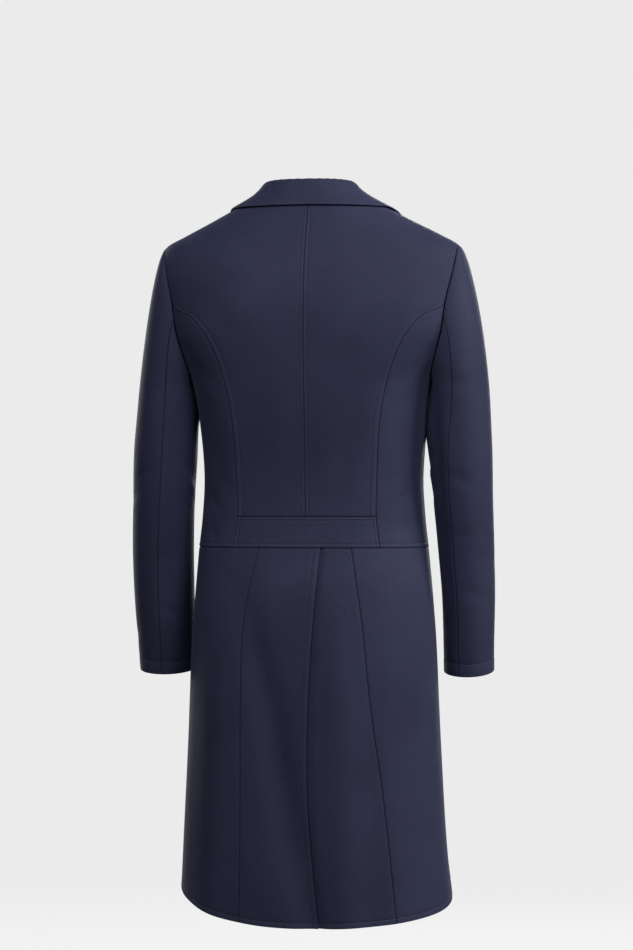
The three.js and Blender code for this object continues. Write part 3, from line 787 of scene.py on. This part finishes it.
def tail_lines(side):
    def nominal(u):
        return mix(WAIST, HEM_CENTRE, u)

    def seam(u):
        level = nominal(u)
        reach = between(TAIL_SEAMS, level, 1 if side > 0 else 2)
        return angle_at(side, reach, level, 1), level

    def vent(u):
        level = nominal(u)
        past = between(TAIL_SEAMS, level, 3 if side > 0 else 4)
        return angle_at(side, side * past, level, 1), level

    def front(u):
        return mix(FRONT_AT_WAIST, FRONT_AT_HEM, u**FRONT_SLANT), nominal(u)

    def bend(u, angle, level):
        return mix(WAIST, hem_level(side, angle), u)
    return front, seam, vent, bend


def step_under(angle, level):
    """The right tail steps in, just before the left tail's vent edge, and lies under it."""
    edge = angle_at(-1, -between(TAIL_SEAMS, level, 3), level, 1)
    return -UNDERLAP * smooth(edge - STEP_TURN, edge - 0.6, angle)


def vent_rise(angle, level):
    """Towards its vent edge the left tail stands a little away from the right one."""
    edge = angle_at(1, between(TAIL_SEAMS, level, 3), level, 1)
    return VENT_RISE * smooth(edge - 10, edge, angle) * smooth(WAIST, WAIST - 60, level)


STEP_TURN, VENT_RISE = 1.9, 2.2
for side, word in ((1, "left"), (-1, "right")):
    front, seam, vent, bend = tail_lines(side)
    under = vent_rise if side > 0 else step_under
    cloth_piece(
        f"tail_{word}_back", coat_surface(side, seam, vent, under, bend),
        {"top": ("seam", ()), "bottom": ("free", (HEM_STITCH,)),
         "first": ("seam", ()), "last": ("free", (VENT_STITCH,))}, crease=coat_crease)
    cloth_piece(
        f"tail_{word}_side", coat_surface(side, front, seam, under, bend),
        {"top": ("seam", ()), "bottom": ("free", (HEM_STITCH,)),
         "first": ("free", (TAIL_STITCH,)), "last": ("seam", ())}, crease=coat_crease)

# %% [markdown]
# ## The sleeves
#
# A sleeve hangs from the armhole in a smooth curve: at every turn round the arm a cubic
# Bezier carries it from the armhole seam to the first full ring below the armpit. Below
# that it is a run of tilted ovals, wider at the elbow and bent gently forward. The two
# arms hang a little differently, so each has its own table.

# %% Sleeve form
SLEEVES = {
    1: np.array([
        # level  out  depth half width half depth turn of the seams
        [-330, 229.5,   3, 46.5, 61,  2],
        [-398, 233.5,  -2, 49.5, 58,  0],
        [-473, 237.5,  -8, 48.0, 55, -2],
        [-547, 240.5, -18, 47.8, 53, -4],
        [-622, 241.0, -31, 47.0, 51, -6],
        [-696, 240.0, -46, 45.0, 49, -7],
        [-738, 239.5, -55, 43.5, 48, -8]], float),
    -1: np.array([
        [-330, 228.0,   3, 46.5, 62,  6],
        [-398, 228.5,  -2, 48.5, 60, 12],
        [-473, 231.5,  -9, 46.0, 57, 16],
        [-547, 235.0, -20, 43.5, 55, 15],
        [-622, 237.5, -33, 41.0, 53, 14],
        [-696, 236.5, -48, 39.3, 52, 14],
        [-738, 236.0, -57, 38.8, 51, 14]], float)}
FIRST_RING = -330.0
RING_TILT, ARRIVE = 0.16, 0.42
HEAD_LIFT, HEAD_START = 0.3, -0.8   # the seam allowance is tucked inside the armhole


def sleeve_ring(side, level, turn):
    """Middle + half width * cos(turn) out and half depth * sin(turn) back, tilted."""
    out, depth, half_width, half_depth, twist = (
        between(SLEEVES[side], level, column) for column in range(1, 6))
    angle = np.radians(turn + twist)
    back = half_depth * np.sin(angle)
    tilt = RING_TILT * smooth(FIRST_RING, CUFF, level)
    return np.stack([side * (out + half_width * np.cos(angle)), depth + back,
                     level - tilt * back], axis=-1)


def sleeve_head(side, run, turn):
    """Bezier from the armhole to the first ring; run goes from 0 to 1."""
    angle, level = armhole(turn)
    c, s = np.cos(np.radians(turn)), np.sin(np.radians(turn))
    away = np.stack([side * (10 + 6 * c), 6 * s, -6 - 12 * s * s], axis=-1)
    start = (ring_point(side, angle, level) + HEAD_LIFT * ring_normal(side, angle, level)
             + HEAD_START * unit(away))
    end = sleeve_ring(side, FIRST_RING + 0 * turn, turn)
    slope = end - sleeve_ring(side, FIRST_RING - 4 + 0 * turn, turn)
    slope = slope / slope[..., 2:]
    arrive = end + slope * (ARRIVE * (start - end)[..., 2:])
    t = run[..., None]
    return ((1 - t) ** 3 * start + 3 * (1 - t) ** 2 * t * (start + away)
            + 3 * (1 - t) * t**2 * arrive + t**3 * end)


def sleeve_point(side, run, turn):
    """run is 0 at the armhole, 1 at the first full ring and 2 at the cuff."""
    run, turn = np.broadcast_arrays(run, turn)
    head = sleeve_head(side, np.clip(run, 0, 1), turn)
    arm = sleeve_ring(side, mix(FIRST_RING, CUFF, np.clip(run - 1, 0, 1.05)), turn)
    return np.where((run < 1)[..., None], head, arm)


def sleeve_surface(side, start_turn, end_turn):
    def surface(u, v):
        run, turn = np.broadcast_arrays(2 * u, mix(start_turn, end_turn, v))
        points = sleeve_point(side, run, turn)
        small = 0.01
        down = (sleeve_point(side, run + small, turn)
                - sleeve_point(side, np.maximum(run - small, 0), turn))
        around = sleeve_point(side, run, turn + 1) - sleeve_point(side, run, turn - 1)
        return points, unit(side * np.cross(down, around))
    return surface


# %% Sleeve creases
SLEEVE_CREASES = {
    1: np.array([
        # turn  level  round  down lean height: turn in degrees, the rest in mm
        [178, -318, 34, 34,  0.0,  6.5],
        [ 93, -430, 12, 90,  0.0,  2.2],
        [ 93, -590, 12, 90,  0.0,  1.8],
        [ 60, -430, 26,  7,  0.6, -1.5],
        [ 40, -462, 30,  8,  0.5, -1.1],
        [150, -420, 24,  7, -0.8, -1.6],
        [165, -452, 26,  7, -0.7,  1.3],
        [150, -480, 22,  6, -0.5, -1.3],
        [ 90, -560, 40, 11,  0.3, -0.9],
        [120, -640, 30,  8, -0.4, -1.1],
        [ 30, -680, 34, 10,  0.4, -0.8],
        [100, -300, 46, 12,  0.2, -1.2]], float),
    -1: np.array([
        [178, -345, 34, 44,  0.0,  8.5],
        [ 93, -420, 12, 95,  0.0,  2.8],
        [ 93, -590, 12, 95,  0.0,  2.4],
        [122, -400, 12, 90,  0.0, -3.0],
        [120, -560, 12, 90,  0.0, -2.0],
        [140, -405, 26,  7, -0.8, -1.8],
        [150, -430, 24,  7, -0.8,  1.4],
        [140, -456, 26,  7, -0.6, -1.6],
        [ 70, -440, 30,  9,  0.6, -1.2],
        [ 95, -520, 44, 12,  0.2, -0.9],
        [ 60, -610, 34, 10,  0.4, -1.1],
        [120, -660, 28,  8, -0.5, -1.0],
        [ 20, -560, 40, 11,  0.3, -0.8],
        [ 95, -290, 46, 12,  0.2, -1.2]], float)}


DEEP = 30.0                    # how far through the sleeve a crease is felt, in mm


def sleeve_crease(side):
    """A bump or hollow: Gaussians round the arm, down it, and through it."""
    def crease(u, v, points):
        height = np.zeros(points.shape[:-1])
        for turn, level, reach, drop, lean, rise in SLEEVE_CREASES[side]:
            centre = sleeve_ring(side, np.array(float(level)), np.array(float(turn)))
            around = unit(sleeve_ring(side, np.array(float(level)), np.array(turn + 2.0))
                          - centre)
            cross = unit(around + np.array([0, 0, lean]))
            down = unit(np.array([0, 0, -1.0]) + np.array([0, 0, 1.0]) @ cross * cross)
            offset = points - centre
            run, fall = offset @ cross, offset @ down
            deep = np.linalg.norm(offset - run[..., None] * cross
                                  - fall[..., None] * down, axis=-1)
            height += rise * np.exp(-(run / reach) ** 2 - (fall / drop) ** 2
                                    - (deep / DEEP) ** 2)
        return height * smooth(0, 0.11, u)
    return crease


# %% Build the sleeves
CUFF_STITCH = 20.0
for side, word in ((1, "left"), (-1, "right")):
    for part, start_turn, end_turn in (("top", FRONT_SEAM_TURN - 360, BACK_SEAM_TURN),
                                       ("under", BACK_SEAM_TURN, FRONT_SEAM_TURN)):
        cloth_piece(
            f"sleeve_{part}_{word}", sleeve_surface(side, start_turn, end_turn),
            {"top": ("seam", ()), "bottom": ("free", (CUFF_STITCH,)),
             "first": ("seam", ()), "last": ("seam", ())}, crease=sleeve_crease(side))

# %% [markdown]
# ## The cut of the cloth
#
# Every piece was cut flat before it was sewn. The table gives each one's width and length
# in metres, the area of its flat pattern piece in square metres, and the pieces it
# is sewn to. The area is less than width times length because of the shape: a side back is a narrow
# curved strip.

CUTS = {
    # name: width, length, flat area, sewn to
    "back_left": (0.245, 0.505, 0.087, ["back_belt"]),
    "back_right": (0.245, 0.505, 0.087, ["back_belt"]),
    "side_back_left": (0.13, 0.40, 0.037, ["back_left"]),
    "side_back_right": (0.13, 0.40, 0.037, ["back_right"]),
    "back_belt": (0.235, 0.048, 0.0108, ["side_back_left", "side_back_right"]),
    "front_left": (0.27, 0.58, 0.119, ["side_back_left"]),
    "front_right": (0.27, 0.58, 0.119, ["side_back_right"]),
    "lapel_left": (0.085, 0.26, 0.0137, ["front_left"]),
    "lapel_right": (0.085, 0.26, 0.0137, ["front_right"]),
    "collar": (0.52, 0.11, 0.042, ["back_left", "back_right"]),
    "tail_left_back": (0.17, 0.575, 0.070, ["back_belt"]),
    "tail_right_back": (0.17, 0.575, 0.082, ["back_belt"]),
    "tail_left_side": (0.30, 0.57, 0.115, ["side_back_left"]),
    "tail_right_side": (0.30, 0.57, 0.115, ["side_back_right"]),
    "sleeve_top_left": (0.24, 0.67, 0.125, ["front_left"]),
    "sleeve_top_right": (0.24, 0.67, 0.125, ["front_right"]),
    "sleeve_under_left": (0.14, 0.56, 0.055, ["side_back_left"]),
    "sleeve_under_right": (0.14, 0.56, 0.055, ["side_back_right"]),
}
for name, (width, length, area, sewn_to) in CUTS.items():
    piece = PANELS[name]["piece"]
    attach(piece, "root")
    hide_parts(name)
print("sheets:", len(CUTS), "sewn area now:", round(sum(SHEET_AREA.values()), 3))

# %% [markdown]
# ## Stitches
#
# Topstitching is a row of short threads, each a little under three millimetres long,
# that rise from one needle hole and sink into the next. A stitch is one small tapered
# tube. It is worked out once and then placed along every stitch line as whole arrays.

# %% One stitch
STITCH_PITCH, STITCH_LENGTH, THREAD = 3.3, 2.7, 0.27
STITCH_SIDES = 5
STITCH_SPINE = np.array([
    # place along, height and thickness, from one needle hole to the next
    [-0.50, -0.10, 0.45], [-0.34, 0.16, 0.9], [0.0, 0.24, 1.0],
    [0.34, 0.16, 0.9], [0.50, -0.10, 0.45]])


def stitch_shape():
    """Rings of points round the spine: (along, sideways, height) in mm, and faces."""
    turn = np.linspace(0, 2 * np.pi, STITCH_SIDES, endpoint=False)
    along = STITCH_SPINE[:, :1] * STITCH_LENGTH + 0 * turn
    sideways = STITCH_SPINE[:, 2:] * THREAD * np.cos(turn)
    height = STITCH_SPINE[:, 1:2] + STITCH_SPINE[:, 2:] * THREAD * np.sin(turn)
    points = np.stack([along, sideways, height], -1).reshape(-1, 3)
    ring = np.arange(len(STITCH_SPINE) - 1)[:, None] * STITCH_SIDES
    here, after = np.arange(STITCH_SIDES), (np.arange(STITCH_SIDES) + 1) % STITCH_SIDES
    quads = np.stack([ring + here, ring + after, ring + STITCH_SIDES + after,
                      ring + STITCH_SIDES + here], -1).reshape(-1, 4)
    return points, quads


stitch_points, stitch_quads = stitch_shape()
print("points and faces in a stitch:", len(stitch_points), len(stitch_quads) + 2)


# %% Stitch lines of a piece
def stitch_runs(panel):
    """The grid lines that lie on a stitch line: their points and normals where the stitching shows."""
    for edge, (kind, stitches) in panel["borders"].items():
        for line in stitches:
            away = np.abs(panel["gap"][edge] - line)
            if edge in ("top", "bottom"):
                row = int(np.argmin(away[:, 0]))
                points, normals = panel["outer"][row], panel["normals"][row]
            else:
                col = int(np.argmin(away[away.shape[0] // 2]))
                points, normals = panel["outer"][:, col], panel["normals"][:, col]
            shown = panel["where"].get(edge, lambda at: np.ones(len(at)))(points)
            keep = shown > 0.5
            if keep.sum() > 1:
                yield points[keep], normals[keep]


def stitch_places(points, normals):
    """Middle, direction and normal of each stitch at even steps along a line."""
    run = running_length(points, 0)
    count = max(int((run[-1] - 3) / STITCH_PITCH), 1)
    at = (np.arange(count) + 0.5) * run[-1] / count
    middle, ahead, up = (
        np.stack([np.interp(at + step, run, data[:, k]) for k in range(3)], -1)
        for step, data in ((0, points), (1.2, points), (0, normals)))
    return middle, unit(ahead - middle), unit(up)


def stitches_piece(name, panels):
    """All stitches of some panels as one mesh."""
    places = [stitch_places(*run) for key in panels for run in stitch_runs(PANELS[key])]
    middle, along, up = (np.concatenate(parts) for parts in zip(*places))
    sideways = np.cross(up, along)
    local = stitch_points
    points = (middle[:, None] + along[:, None] * local[None, :, :1]
              + sideways[:, None] * local[None, :, 1:2] + up[:, None] * local[None, :, 2:])
    base = np.arange(len(middle))[:, None, None] * len(local)
    quads = (base + stitch_quads).reshape(-1, 4)
    cap = np.arange(STITCH_SIDES)
    last_ring = len(local) - STITCH_SIDES
    caps = (base + np.stack([cap[::-1], cap + last_ring])).reshape(-1, STITCH_SIDES)
    mesh = bpy.data.meshes.new(name)
    mesh.from_pydata((points.reshape(-1, 3) * MM).tolist(), [],
                     quads.tolist() + caps.tolist())
    mesh.polygons.foreach_set("use_smooth", np.ones(len(mesh.polygons), bool))
    mesh.update()
    piece = bpy.data.objects.new(name, mesh)
    bpy.context.scene.collection.objects.link(piece)
    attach(piece, "root")
    print(name, "stitches:", len(middle))
    return piece


BODY = ("back", "side_back", "front", "lapel", "collar")
body_panels = [n for n in PANELS if n.startswith(BODY)]
STITCHED = [stitches_piece("stitches_body", body_panels),
            stitches_piece("stitches_tails", [n for n in PANELS if n.startswith("tail")]),
            stitches_piece("stitches_cuffs", [n for n in PANELS if n.startswith("sleeve")])]

# %% [markdown]
# ## The buttons
#
# Three round buttons close the front. Each is one turned profile: a flat back, a rounded
# rim and a shallow dish in the face. A turned profile is two functions of one parameter,
# carried round in a full circle, and its middle is closed with a small disc of faces.

# %% Buttons
BUTTON_PROFILE = np.array([
    # radius and height in mm, from the middle of the back to the middle of the face
    [3.2, 0.0], [3.4, 0.15], [3.4, 0.9], [6.4, 0.95], [9.2, 1.05], [9.8, 1.4], [10.0, 2.0],
    [9.8, 2.7], [9.2, 3.2], [8.5, 3.4], [7.8, 3.25], [7.2, 2.8], [6.4, 2.55], [3.5, 2.5],
    [1.2, 2.5]])
BUTTON_AROUND = 40


def turned(profile, centre, axis, name):
    """Point = centre + radius * (cos, sin of the turn) in the face's plane + height."""
    turn = np.linspace(0, 2 * np.pi, BUTTON_AROUND, endpoint=False)
    first = unit(np.cross(axis, np.array([0.0, 0.0, 1.0])))
    second = np.cross(axis, first)
    circle = np.cos(turn)[:, None] * first + np.sin(turn)[:, None] * second
    points = (centre + profile[:, None, :1] * circle + profile[:, None, 1:] * axis)
    rings = len(profile)
    ring = np.arange(rings - 1)[:, None] * BUTTON_AROUND
    here, after = np.arange(BUTTON_AROUND), (np.arange(BUTTON_AROUND) + 1) % BUTTON_AROUND
    quads = np.stack([ring + here, ring + after, ring + BUTTON_AROUND + after,
                      ring + BUTTON_AROUND + here], -1).reshape(-1, 4)
    caps = [here[::-1].tolist(), (here + (rings - 1) * BUTTON_AROUND).tolist()]
    mesh = bpy.data.meshes.new(name)
    mesh.from_pydata((points.reshape(-1, 3) * MM).tolist(), [], quads.tolist() + caps)
    mesh.polygons.foreach_set("use_smooth", np.ones(len(mesh.polygons), bool))
    mesh.update()
    piece = bpy.data.objects.new(name, mesh)
    bpy.context.scene.collection.objects.link(piece)
    return piece


BUTTONS = []
for number in (1, 2, 3):
    low, high = (np.array(corner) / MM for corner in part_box(f"button_{number}"))
    level = np.array((low[2] + high[2]) / 2)
    axis = ring_normal(1, np.array(-90.0), level)
    back_face = (low + high) / 2 - axis * 1.7
    button = turned(BUTTON_PROFILE, back_face, axis, f"button_{number}_turned")
    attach(button, "root")
    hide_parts(f"button_{number}")
    BUTTONS.append(button)
print("buttons turned:", len(BUTTONS))

# %% [markdown]
# ## Softshell and thread
#
# Softshell is a knitted face bonded to a thin fleece. Its face has a very fine diagonal
# rib, a dull sheen and tiny differences of colour. A node group gives all of that from
# the piece's own map in metres, so the rib follows the cut of each piece, and each
# material sets its own values. Sheen, which makes cloth edges glow, is set on the shader.

# %% Cloth group
def add_node(tree, kind, **settings):
    node = tree.nodes.new(kind)
    for key, value in settings.items():
        setattr(node, key, value)
    return node


def wire(tree, source, target):
    tree.links.new(source, target)


def multiply_add(tree, value, factor, addend):
    node = add_node(tree, "ShaderNodeMath", operation="MULTIPLY_ADD")
    wire(tree, value, node.inputs[0])
    node.inputs[1].default_value, node.inputs[2].default_value = factor, addend
    return node.outputs[0]


def cloth_group():
    """Colour, roughness and height of a ribbed, slightly mottled cloth. The ridge input adds painted
    shade in seam dips and stitch dents, and a lighter tone on raised allowances that is part wear and
    part painted highlight.
    """
    tree = bpy.data.node_groups.new("softshell face", "ShaderNodeTree")
    for name, kind in (("Map", "NodeSocketVector"), ("Place", "NodeSocketVector"),
                       ("Ridge", "NodeSocketFloat"), ("Dark", "NodeSocketColor"),
                       ("Light", "NodeSocketColor")):
        tree.interface.new_socket(name, in_out="INPUT", socket_type=kind)
    for name, kind in (("Color", "NodeSocketColor"), ("Roughness", "NodeSocketFloat"),
                       ("Height", "NodeSocketFloat")):
        tree.interface.new_socket(name, in_out="OUTPUT", socket_type=kind)
    given = add_node(tree, "NodeGroupInput")
    result = add_node(tree, "NodeGroupOutput")

    rib = add_node(tree, "ShaderNodeTexWave", wave_type="BANDS", bands_direction="DIAGONAL")
    rib.inputs["Scale"].default_value = 430.0
    rib.inputs["Distortion"].default_value = 1.2
    rib.inputs["Detail"].default_value = 1.0
    grain = add_node(tree, "ShaderNodeTexNoise")
    grain.inputs["Scale"].default_value = 900.0
    grain.inputs["Detail"].default_value = 2.0
    pill = add_node(tree, "ShaderNodeTexNoise")
    pill.inputs["Scale"].default_value = 150.0
    pill.inputs["Detail"].default_value = 4.0
    cloud = add_node(tree, "ShaderNodeTexNoise")
    cloud.inputs["Scale"].default_value = 9.0
    cloud.inputs["Detail"].default_value = 3.0
    wire(tree, given.outputs["Map"], rib.inputs["Vector"])
    wire(tree, given.outputs["Map"], grain.inputs["Vector"])
    wire(tree, given.outputs["Map"], pill.inputs["Vector"])
    wire(tree, given.outputs["Place"], cloud.inputs["Vector"])

    fine = add_node(tree, "ShaderNodeMath", operation="ADD")
    wire(tree, multiply_add(tree, rib.outputs["Fac"], 0.55, 0.0), fine.inputs[0])
    wire(tree, multiply_add(tree, grain.outputs["Fac"], 0.9, -0.45), fine.inputs[1])
    coarse = add_node(tree, "ShaderNodeMath", operation="ADD")
    wire(tree, multiply_add(tree, pill.outputs["Fac"], 0.5, -0.05), coarse.inputs[0])
    wire(tree, multiply_add(tree, cloud.outputs["Fac"], 0.9, -0.2), coarse.inputs[1])
    tone = add_node(tree, "ShaderNodeMath", operation="MULTIPLY_ADD")
    wire(tree, fine.outputs[0], tone.inputs[0])
    tone.inputs[1].default_value = 0.35
    wire(tree, coarse.outputs[0], tone.inputs[2])
    # Painted shade: the seam relief darkens the colour in seam dips and stitch dents, and lightens it
    # on raised allowances, part wear and part painted highlight.
    wear_and_seam_shade = add_node(tree, "ShaderNodeMath", operation="MULTIPLY_ADD", use_clamp=True)
    wire(tree, given.outputs["Ridge"], wear_and_seam_shade.inputs[0])
    wear_and_seam_shade.inputs[1].default_value = 0.40
    wire(tree, tone.outputs[0], wear_and_seam_shade.inputs[2])
    colour = add_node(tree, "ShaderNodeMix", data_type="RGBA")
    wire(tree, wear_and_seam_shade.outputs[0], colour.inputs["Factor"])
    wire(tree, given.outputs["Dark"], colour.inputs["A"])
    wire(tree, given.outputs["Light"], colour.inputs["B"])
    wire(tree, colour.outputs["Result"], result.inputs["Color"])
    wire(tree, multiply_add(tree, tone.outputs[0], -0.16, 0.80), result.inputs["Roughness"])
    wire(tree, fine.outputs[0], result.inputs["Height"])
    return tree


face_group = cloth_group()
print("nodes in the cloth group:", len(face_group.nodes))


# %% Cloth material
def cloth_material(name, dark, light, bump_depth=0.00016, sheen=0.12):
    """Principled cloth: colours and bump from the group, sheen on the shader itself."""
    material = bpy.data.materials.new(name)
    material.use_nodes = True
    tree = material.node_tree
    shader = tree.nodes["Principled BSDF"]
    group = add_node(tree, "ShaderNodeGroup", node_tree=face_group)
    cloth_map = add_node(tree, "ShaderNodeUVMap", uv_map="cloth")
    place = add_node(tree, "ShaderNodeTexCoord")
    # The seam relief drives the group's painted shade in seam dips and its lighter tone on allowances.
    ridge = add_node(tree, "ShaderNodeAttribute", attribute_name="ridge")
    wire(tree, cloth_map.outputs["UV"], group.inputs["Map"])
    wire(tree, place.outputs["Object"], group.inputs["Place"])
    wire(tree, ridge.outputs["Fac"], group.inputs["Ridge"])
    group.inputs["Dark"].default_value = (*dark, 1)
    group.inputs["Light"].default_value = (*light, 1)
    bump = add_node(tree, "ShaderNodeBump")
    bump.inputs["Strength"].default_value = 0.55
    bump.inputs["Distance"].default_value = bump_depth
    wire(tree, group.outputs["Height"], bump.inputs["Height"])
    wire(tree, group.outputs["Color"], shader.inputs["Base Color"])
    wire(tree, group.outputs["Roughness"], shader.inputs["Roughness"])
    wire(tree, bump.outputs["Normal"], shader.inputs["Normal"])
    shader.inputs["Sheen Weight"].default_value = sheen
    shader.inputs["Sheen Roughness"].default_value = 0.45
    shader.inputs["Sheen Tint"].default_value = (0.40, 0.44, 0.72, 1)
    shader.inputs["Specular IOR Level"].default_value = 0.16
    return material


softshell = cloth_material("navy softshell", (0.0111, 0.0123, 0.0306), (0.0248, 0.0271, 0.0600))
for panel in PANELS.values():
    panel["piece"].data.materials.append(softshell)
print("pieces of softshell:", len(PANELS))


# %% Thread and button materials
def plain_material(name, dark, light, scale, roughness, bump_depth):
    """Principled with a colour that drifts between two tones and a fine bump."""
    material = bpy.data.materials.new(name)
    material.use_nodes = True
    tree = material.node_tree
    shader = tree.nodes["Principled BSDF"]
    place = add_node(tree, "ShaderNodeTexCoord")
    noise = add_node(tree, "ShaderNodeTexNoise")
    noise.inputs["Scale"].default_value = scale
    noise.inputs["Detail"].default_value = 3.0
    colour = add_node(tree, "ShaderNodeMix", data_type="RGBA")
    colour.inputs["A"].default_value, colour.inputs["B"].default_value = (*dark, 1), (*light, 1)
    bump = add_node(tree, "ShaderNodeBump")
    bump.inputs["Distance"].default_value = bump_depth
    bump.inputs["Strength"].default_value = 0.4
    wire(tree, place.outputs["Object"], noise.inputs["Vector"])
    wire(tree, noise.outputs["Fac"], colour.inputs["Factor"])
    wire(tree, noise.outputs["Fac"], bump.inputs["Height"])
    wire(tree, colour.outputs["Result"], shader.inputs["Base Color"])
    wire(tree, multiply_add(tree, noise.outputs["Fac"], 0.2, roughness - 0.1),
         shader.inputs["Roughness"])
    wire(tree, bump.outputs["Normal"], shader.inputs["Normal"])
    return material


thread = plain_material("navy thread", (0.008, 0.009, 0.020), (0.017, 0.019, 0.040),
                        2500, 0.6, 0.00004)
thread.node_tree.nodes["Principled BSDF"].inputs["Sheen Weight"].default_value = 0.2
button_finish = plain_material("dark button", (0.010, 0.011, 0.020), (0.022, 0.024, 0.040),
                               120, 0.5, 0.00005)
button_finish.node_tree.nodes["Principled BSDF"].inputs["Specular IOR Level"].default_value = 0.3
for piece in STITCHED:
    piece.data.materials.append(thread)
for piece in BUTTONS:
    piece.data.materials.append(button_finish)
print("materials:", [m.name for m in (softshell, thread, button_finish)])

# %% [markdown]
# ## Floor, backdrop and light
#
# The coat hangs in front of a pale sweep that is floor and backdrop in one. A large soft
# light stands high on its right, a weaker one on its left, and the pale world fills the
# rest, as in a studio made of white walls.

# %% Sweep
def sweep(radius, floor_level, top_level, bend):
    """A turned dish: flat floor, quarter-round bend of a given radius, and upright wall."""
    quarter = np.linspace(0, np.pi / 2, 12)
    profile = np.concatenate([
        [[0.05, floor_level]],
        np.stack([radius - bend + bend * np.sin(quarter),
                  floor_level + bend - bend * np.cos(quarter)], -1),
        [[radius, top_level]]])
    turn = np.linspace(0, 2 * np.pi, 96, endpoint=False)
    points = np.stack([profile[:, None, 0] * np.cos(turn),
                       profile[:, None, 0] * np.sin(turn),
                       profile[:, None, 1] + 0 * turn], -1)
    ring = np.arange(len(profile) - 1)[:, None] * len(turn)
    here, after = np.arange(len(turn)), (np.arange(len(turn)) + 1) % len(turn)
    quads = np.stack([ring + here, ring + len(turn) + here, ring + len(turn) + after,
                      ring + after], -1).reshape(-1, 4)
    mesh = bpy.data.meshes.new("sweep")
    mesh.from_pydata(points.reshape(-1, 3).tolist(), [],
                     quads.tolist() + [here[::-1].tolist()])
    mesh.polygons.foreach_set("use_smooth", np.ones(len(mesh.polygons), bool))
    mesh.update()
    backdrop = bpy.data.objects.new("sweep", mesh)
    bpy.context.scene.collection.objects.link(backdrop)
    return backdrop


FLOOR_LEVEL = -1.62
CAST_GLOW, SEEN_GLOW = 0.04, 0.782
backdrop = sweep(9.0, FLOOR_LEVEL, 7.0, 2.5)
pale = bpy.data.materials.new("pale sweep")
pale.use_nodes = True
pale_shader = pale.node_tree.nodes["Principled BSDF"]
pale_shader.inputs["Base Color"].default_value = (0.05, 0.05, 0.05, 1)
pale_shader.inputs["Roughness"].default_value = 1.0
pale_shader.inputs["Specular IOR Level"].default_value = 0.0
pale_shader.inputs["Emission Color"].default_value = (1, 1, 1, 1)
ray = add_node(pale.node_tree, "ShaderNodeLightPath")
wire(pale.node_tree, multiply_add(pale.node_tree, ray.outputs["Is Camera Ray"], SEEN_GLOW,
                                  CAST_GLOW), pale_shader.inputs["Emission Strength"])
backdrop.data.materials.append(pale)
print("floor level in metres:", FLOOR_LEVEL)

# %% Lights
def soft_light(name, place, aim, size, power, colour=(1, 1, 1)):
    data = bpy.data.lights.new(name, "AREA")
    data.shape, data.size, data.size_y = "RECTANGLE", size[0], size[1]
    data.energy, data.color = power, colour
    light = bpy.data.objects.new(name, data)
    light.location = place
    light.rotation_euler = (Vector(place) - Vector(aim)).to_track_quat("Z", "Y").to_euler()
    bpy.context.scene.collection.objects.link(light)
    return light


AIM = Vector((0, 0, -0.35))


def around_coat(turn, rise, distance=3.8):
    """A place round the aim: turn is in degrees from the camera's side, to its right."""
    flat = (view_back * math.cos(math.radians(turn))
            + view_right * math.sin(math.radians(turn)))
    return AIM + distance * (flat * math.cos(math.radians(rise))
                             + Vector((0, 0, math.sin(math.radians(rise)))))


for name, turn, rise, size, power in (("key light", 30, 30, (1.6, 1.6), 95),
                                      ("side light", 80, 22, (1.4, 1.8), 122),
                                      ("fill light", -33, 30, (1.6, 1.6), 50),
                                      ("top light", 0, 55, (1.8, 1.4), 32),
                                      ("front light", 165, 10, (1.8, 2.0), 90),
                                      ("front fill light", -145, 6, (1.8, 2.0), 60)):
    soft_light(name, around_coat(turn, rise), AIM, size, power)
world = bpy.data.worlds.new("pale world")
world.use_nodes = True
world.node_tree.nodes["Background"].inputs["Color"].default_value = (0.80, 0.81, 0.83, 1)
world.node_tree.nodes["Background"].inputs["Strength"].default_value = 0.04
bpy.context.scene.world = world
bpy.context.scene.view_settings.view_transform = "Standard"
bpy.context.scene.view_settings.look = "None"
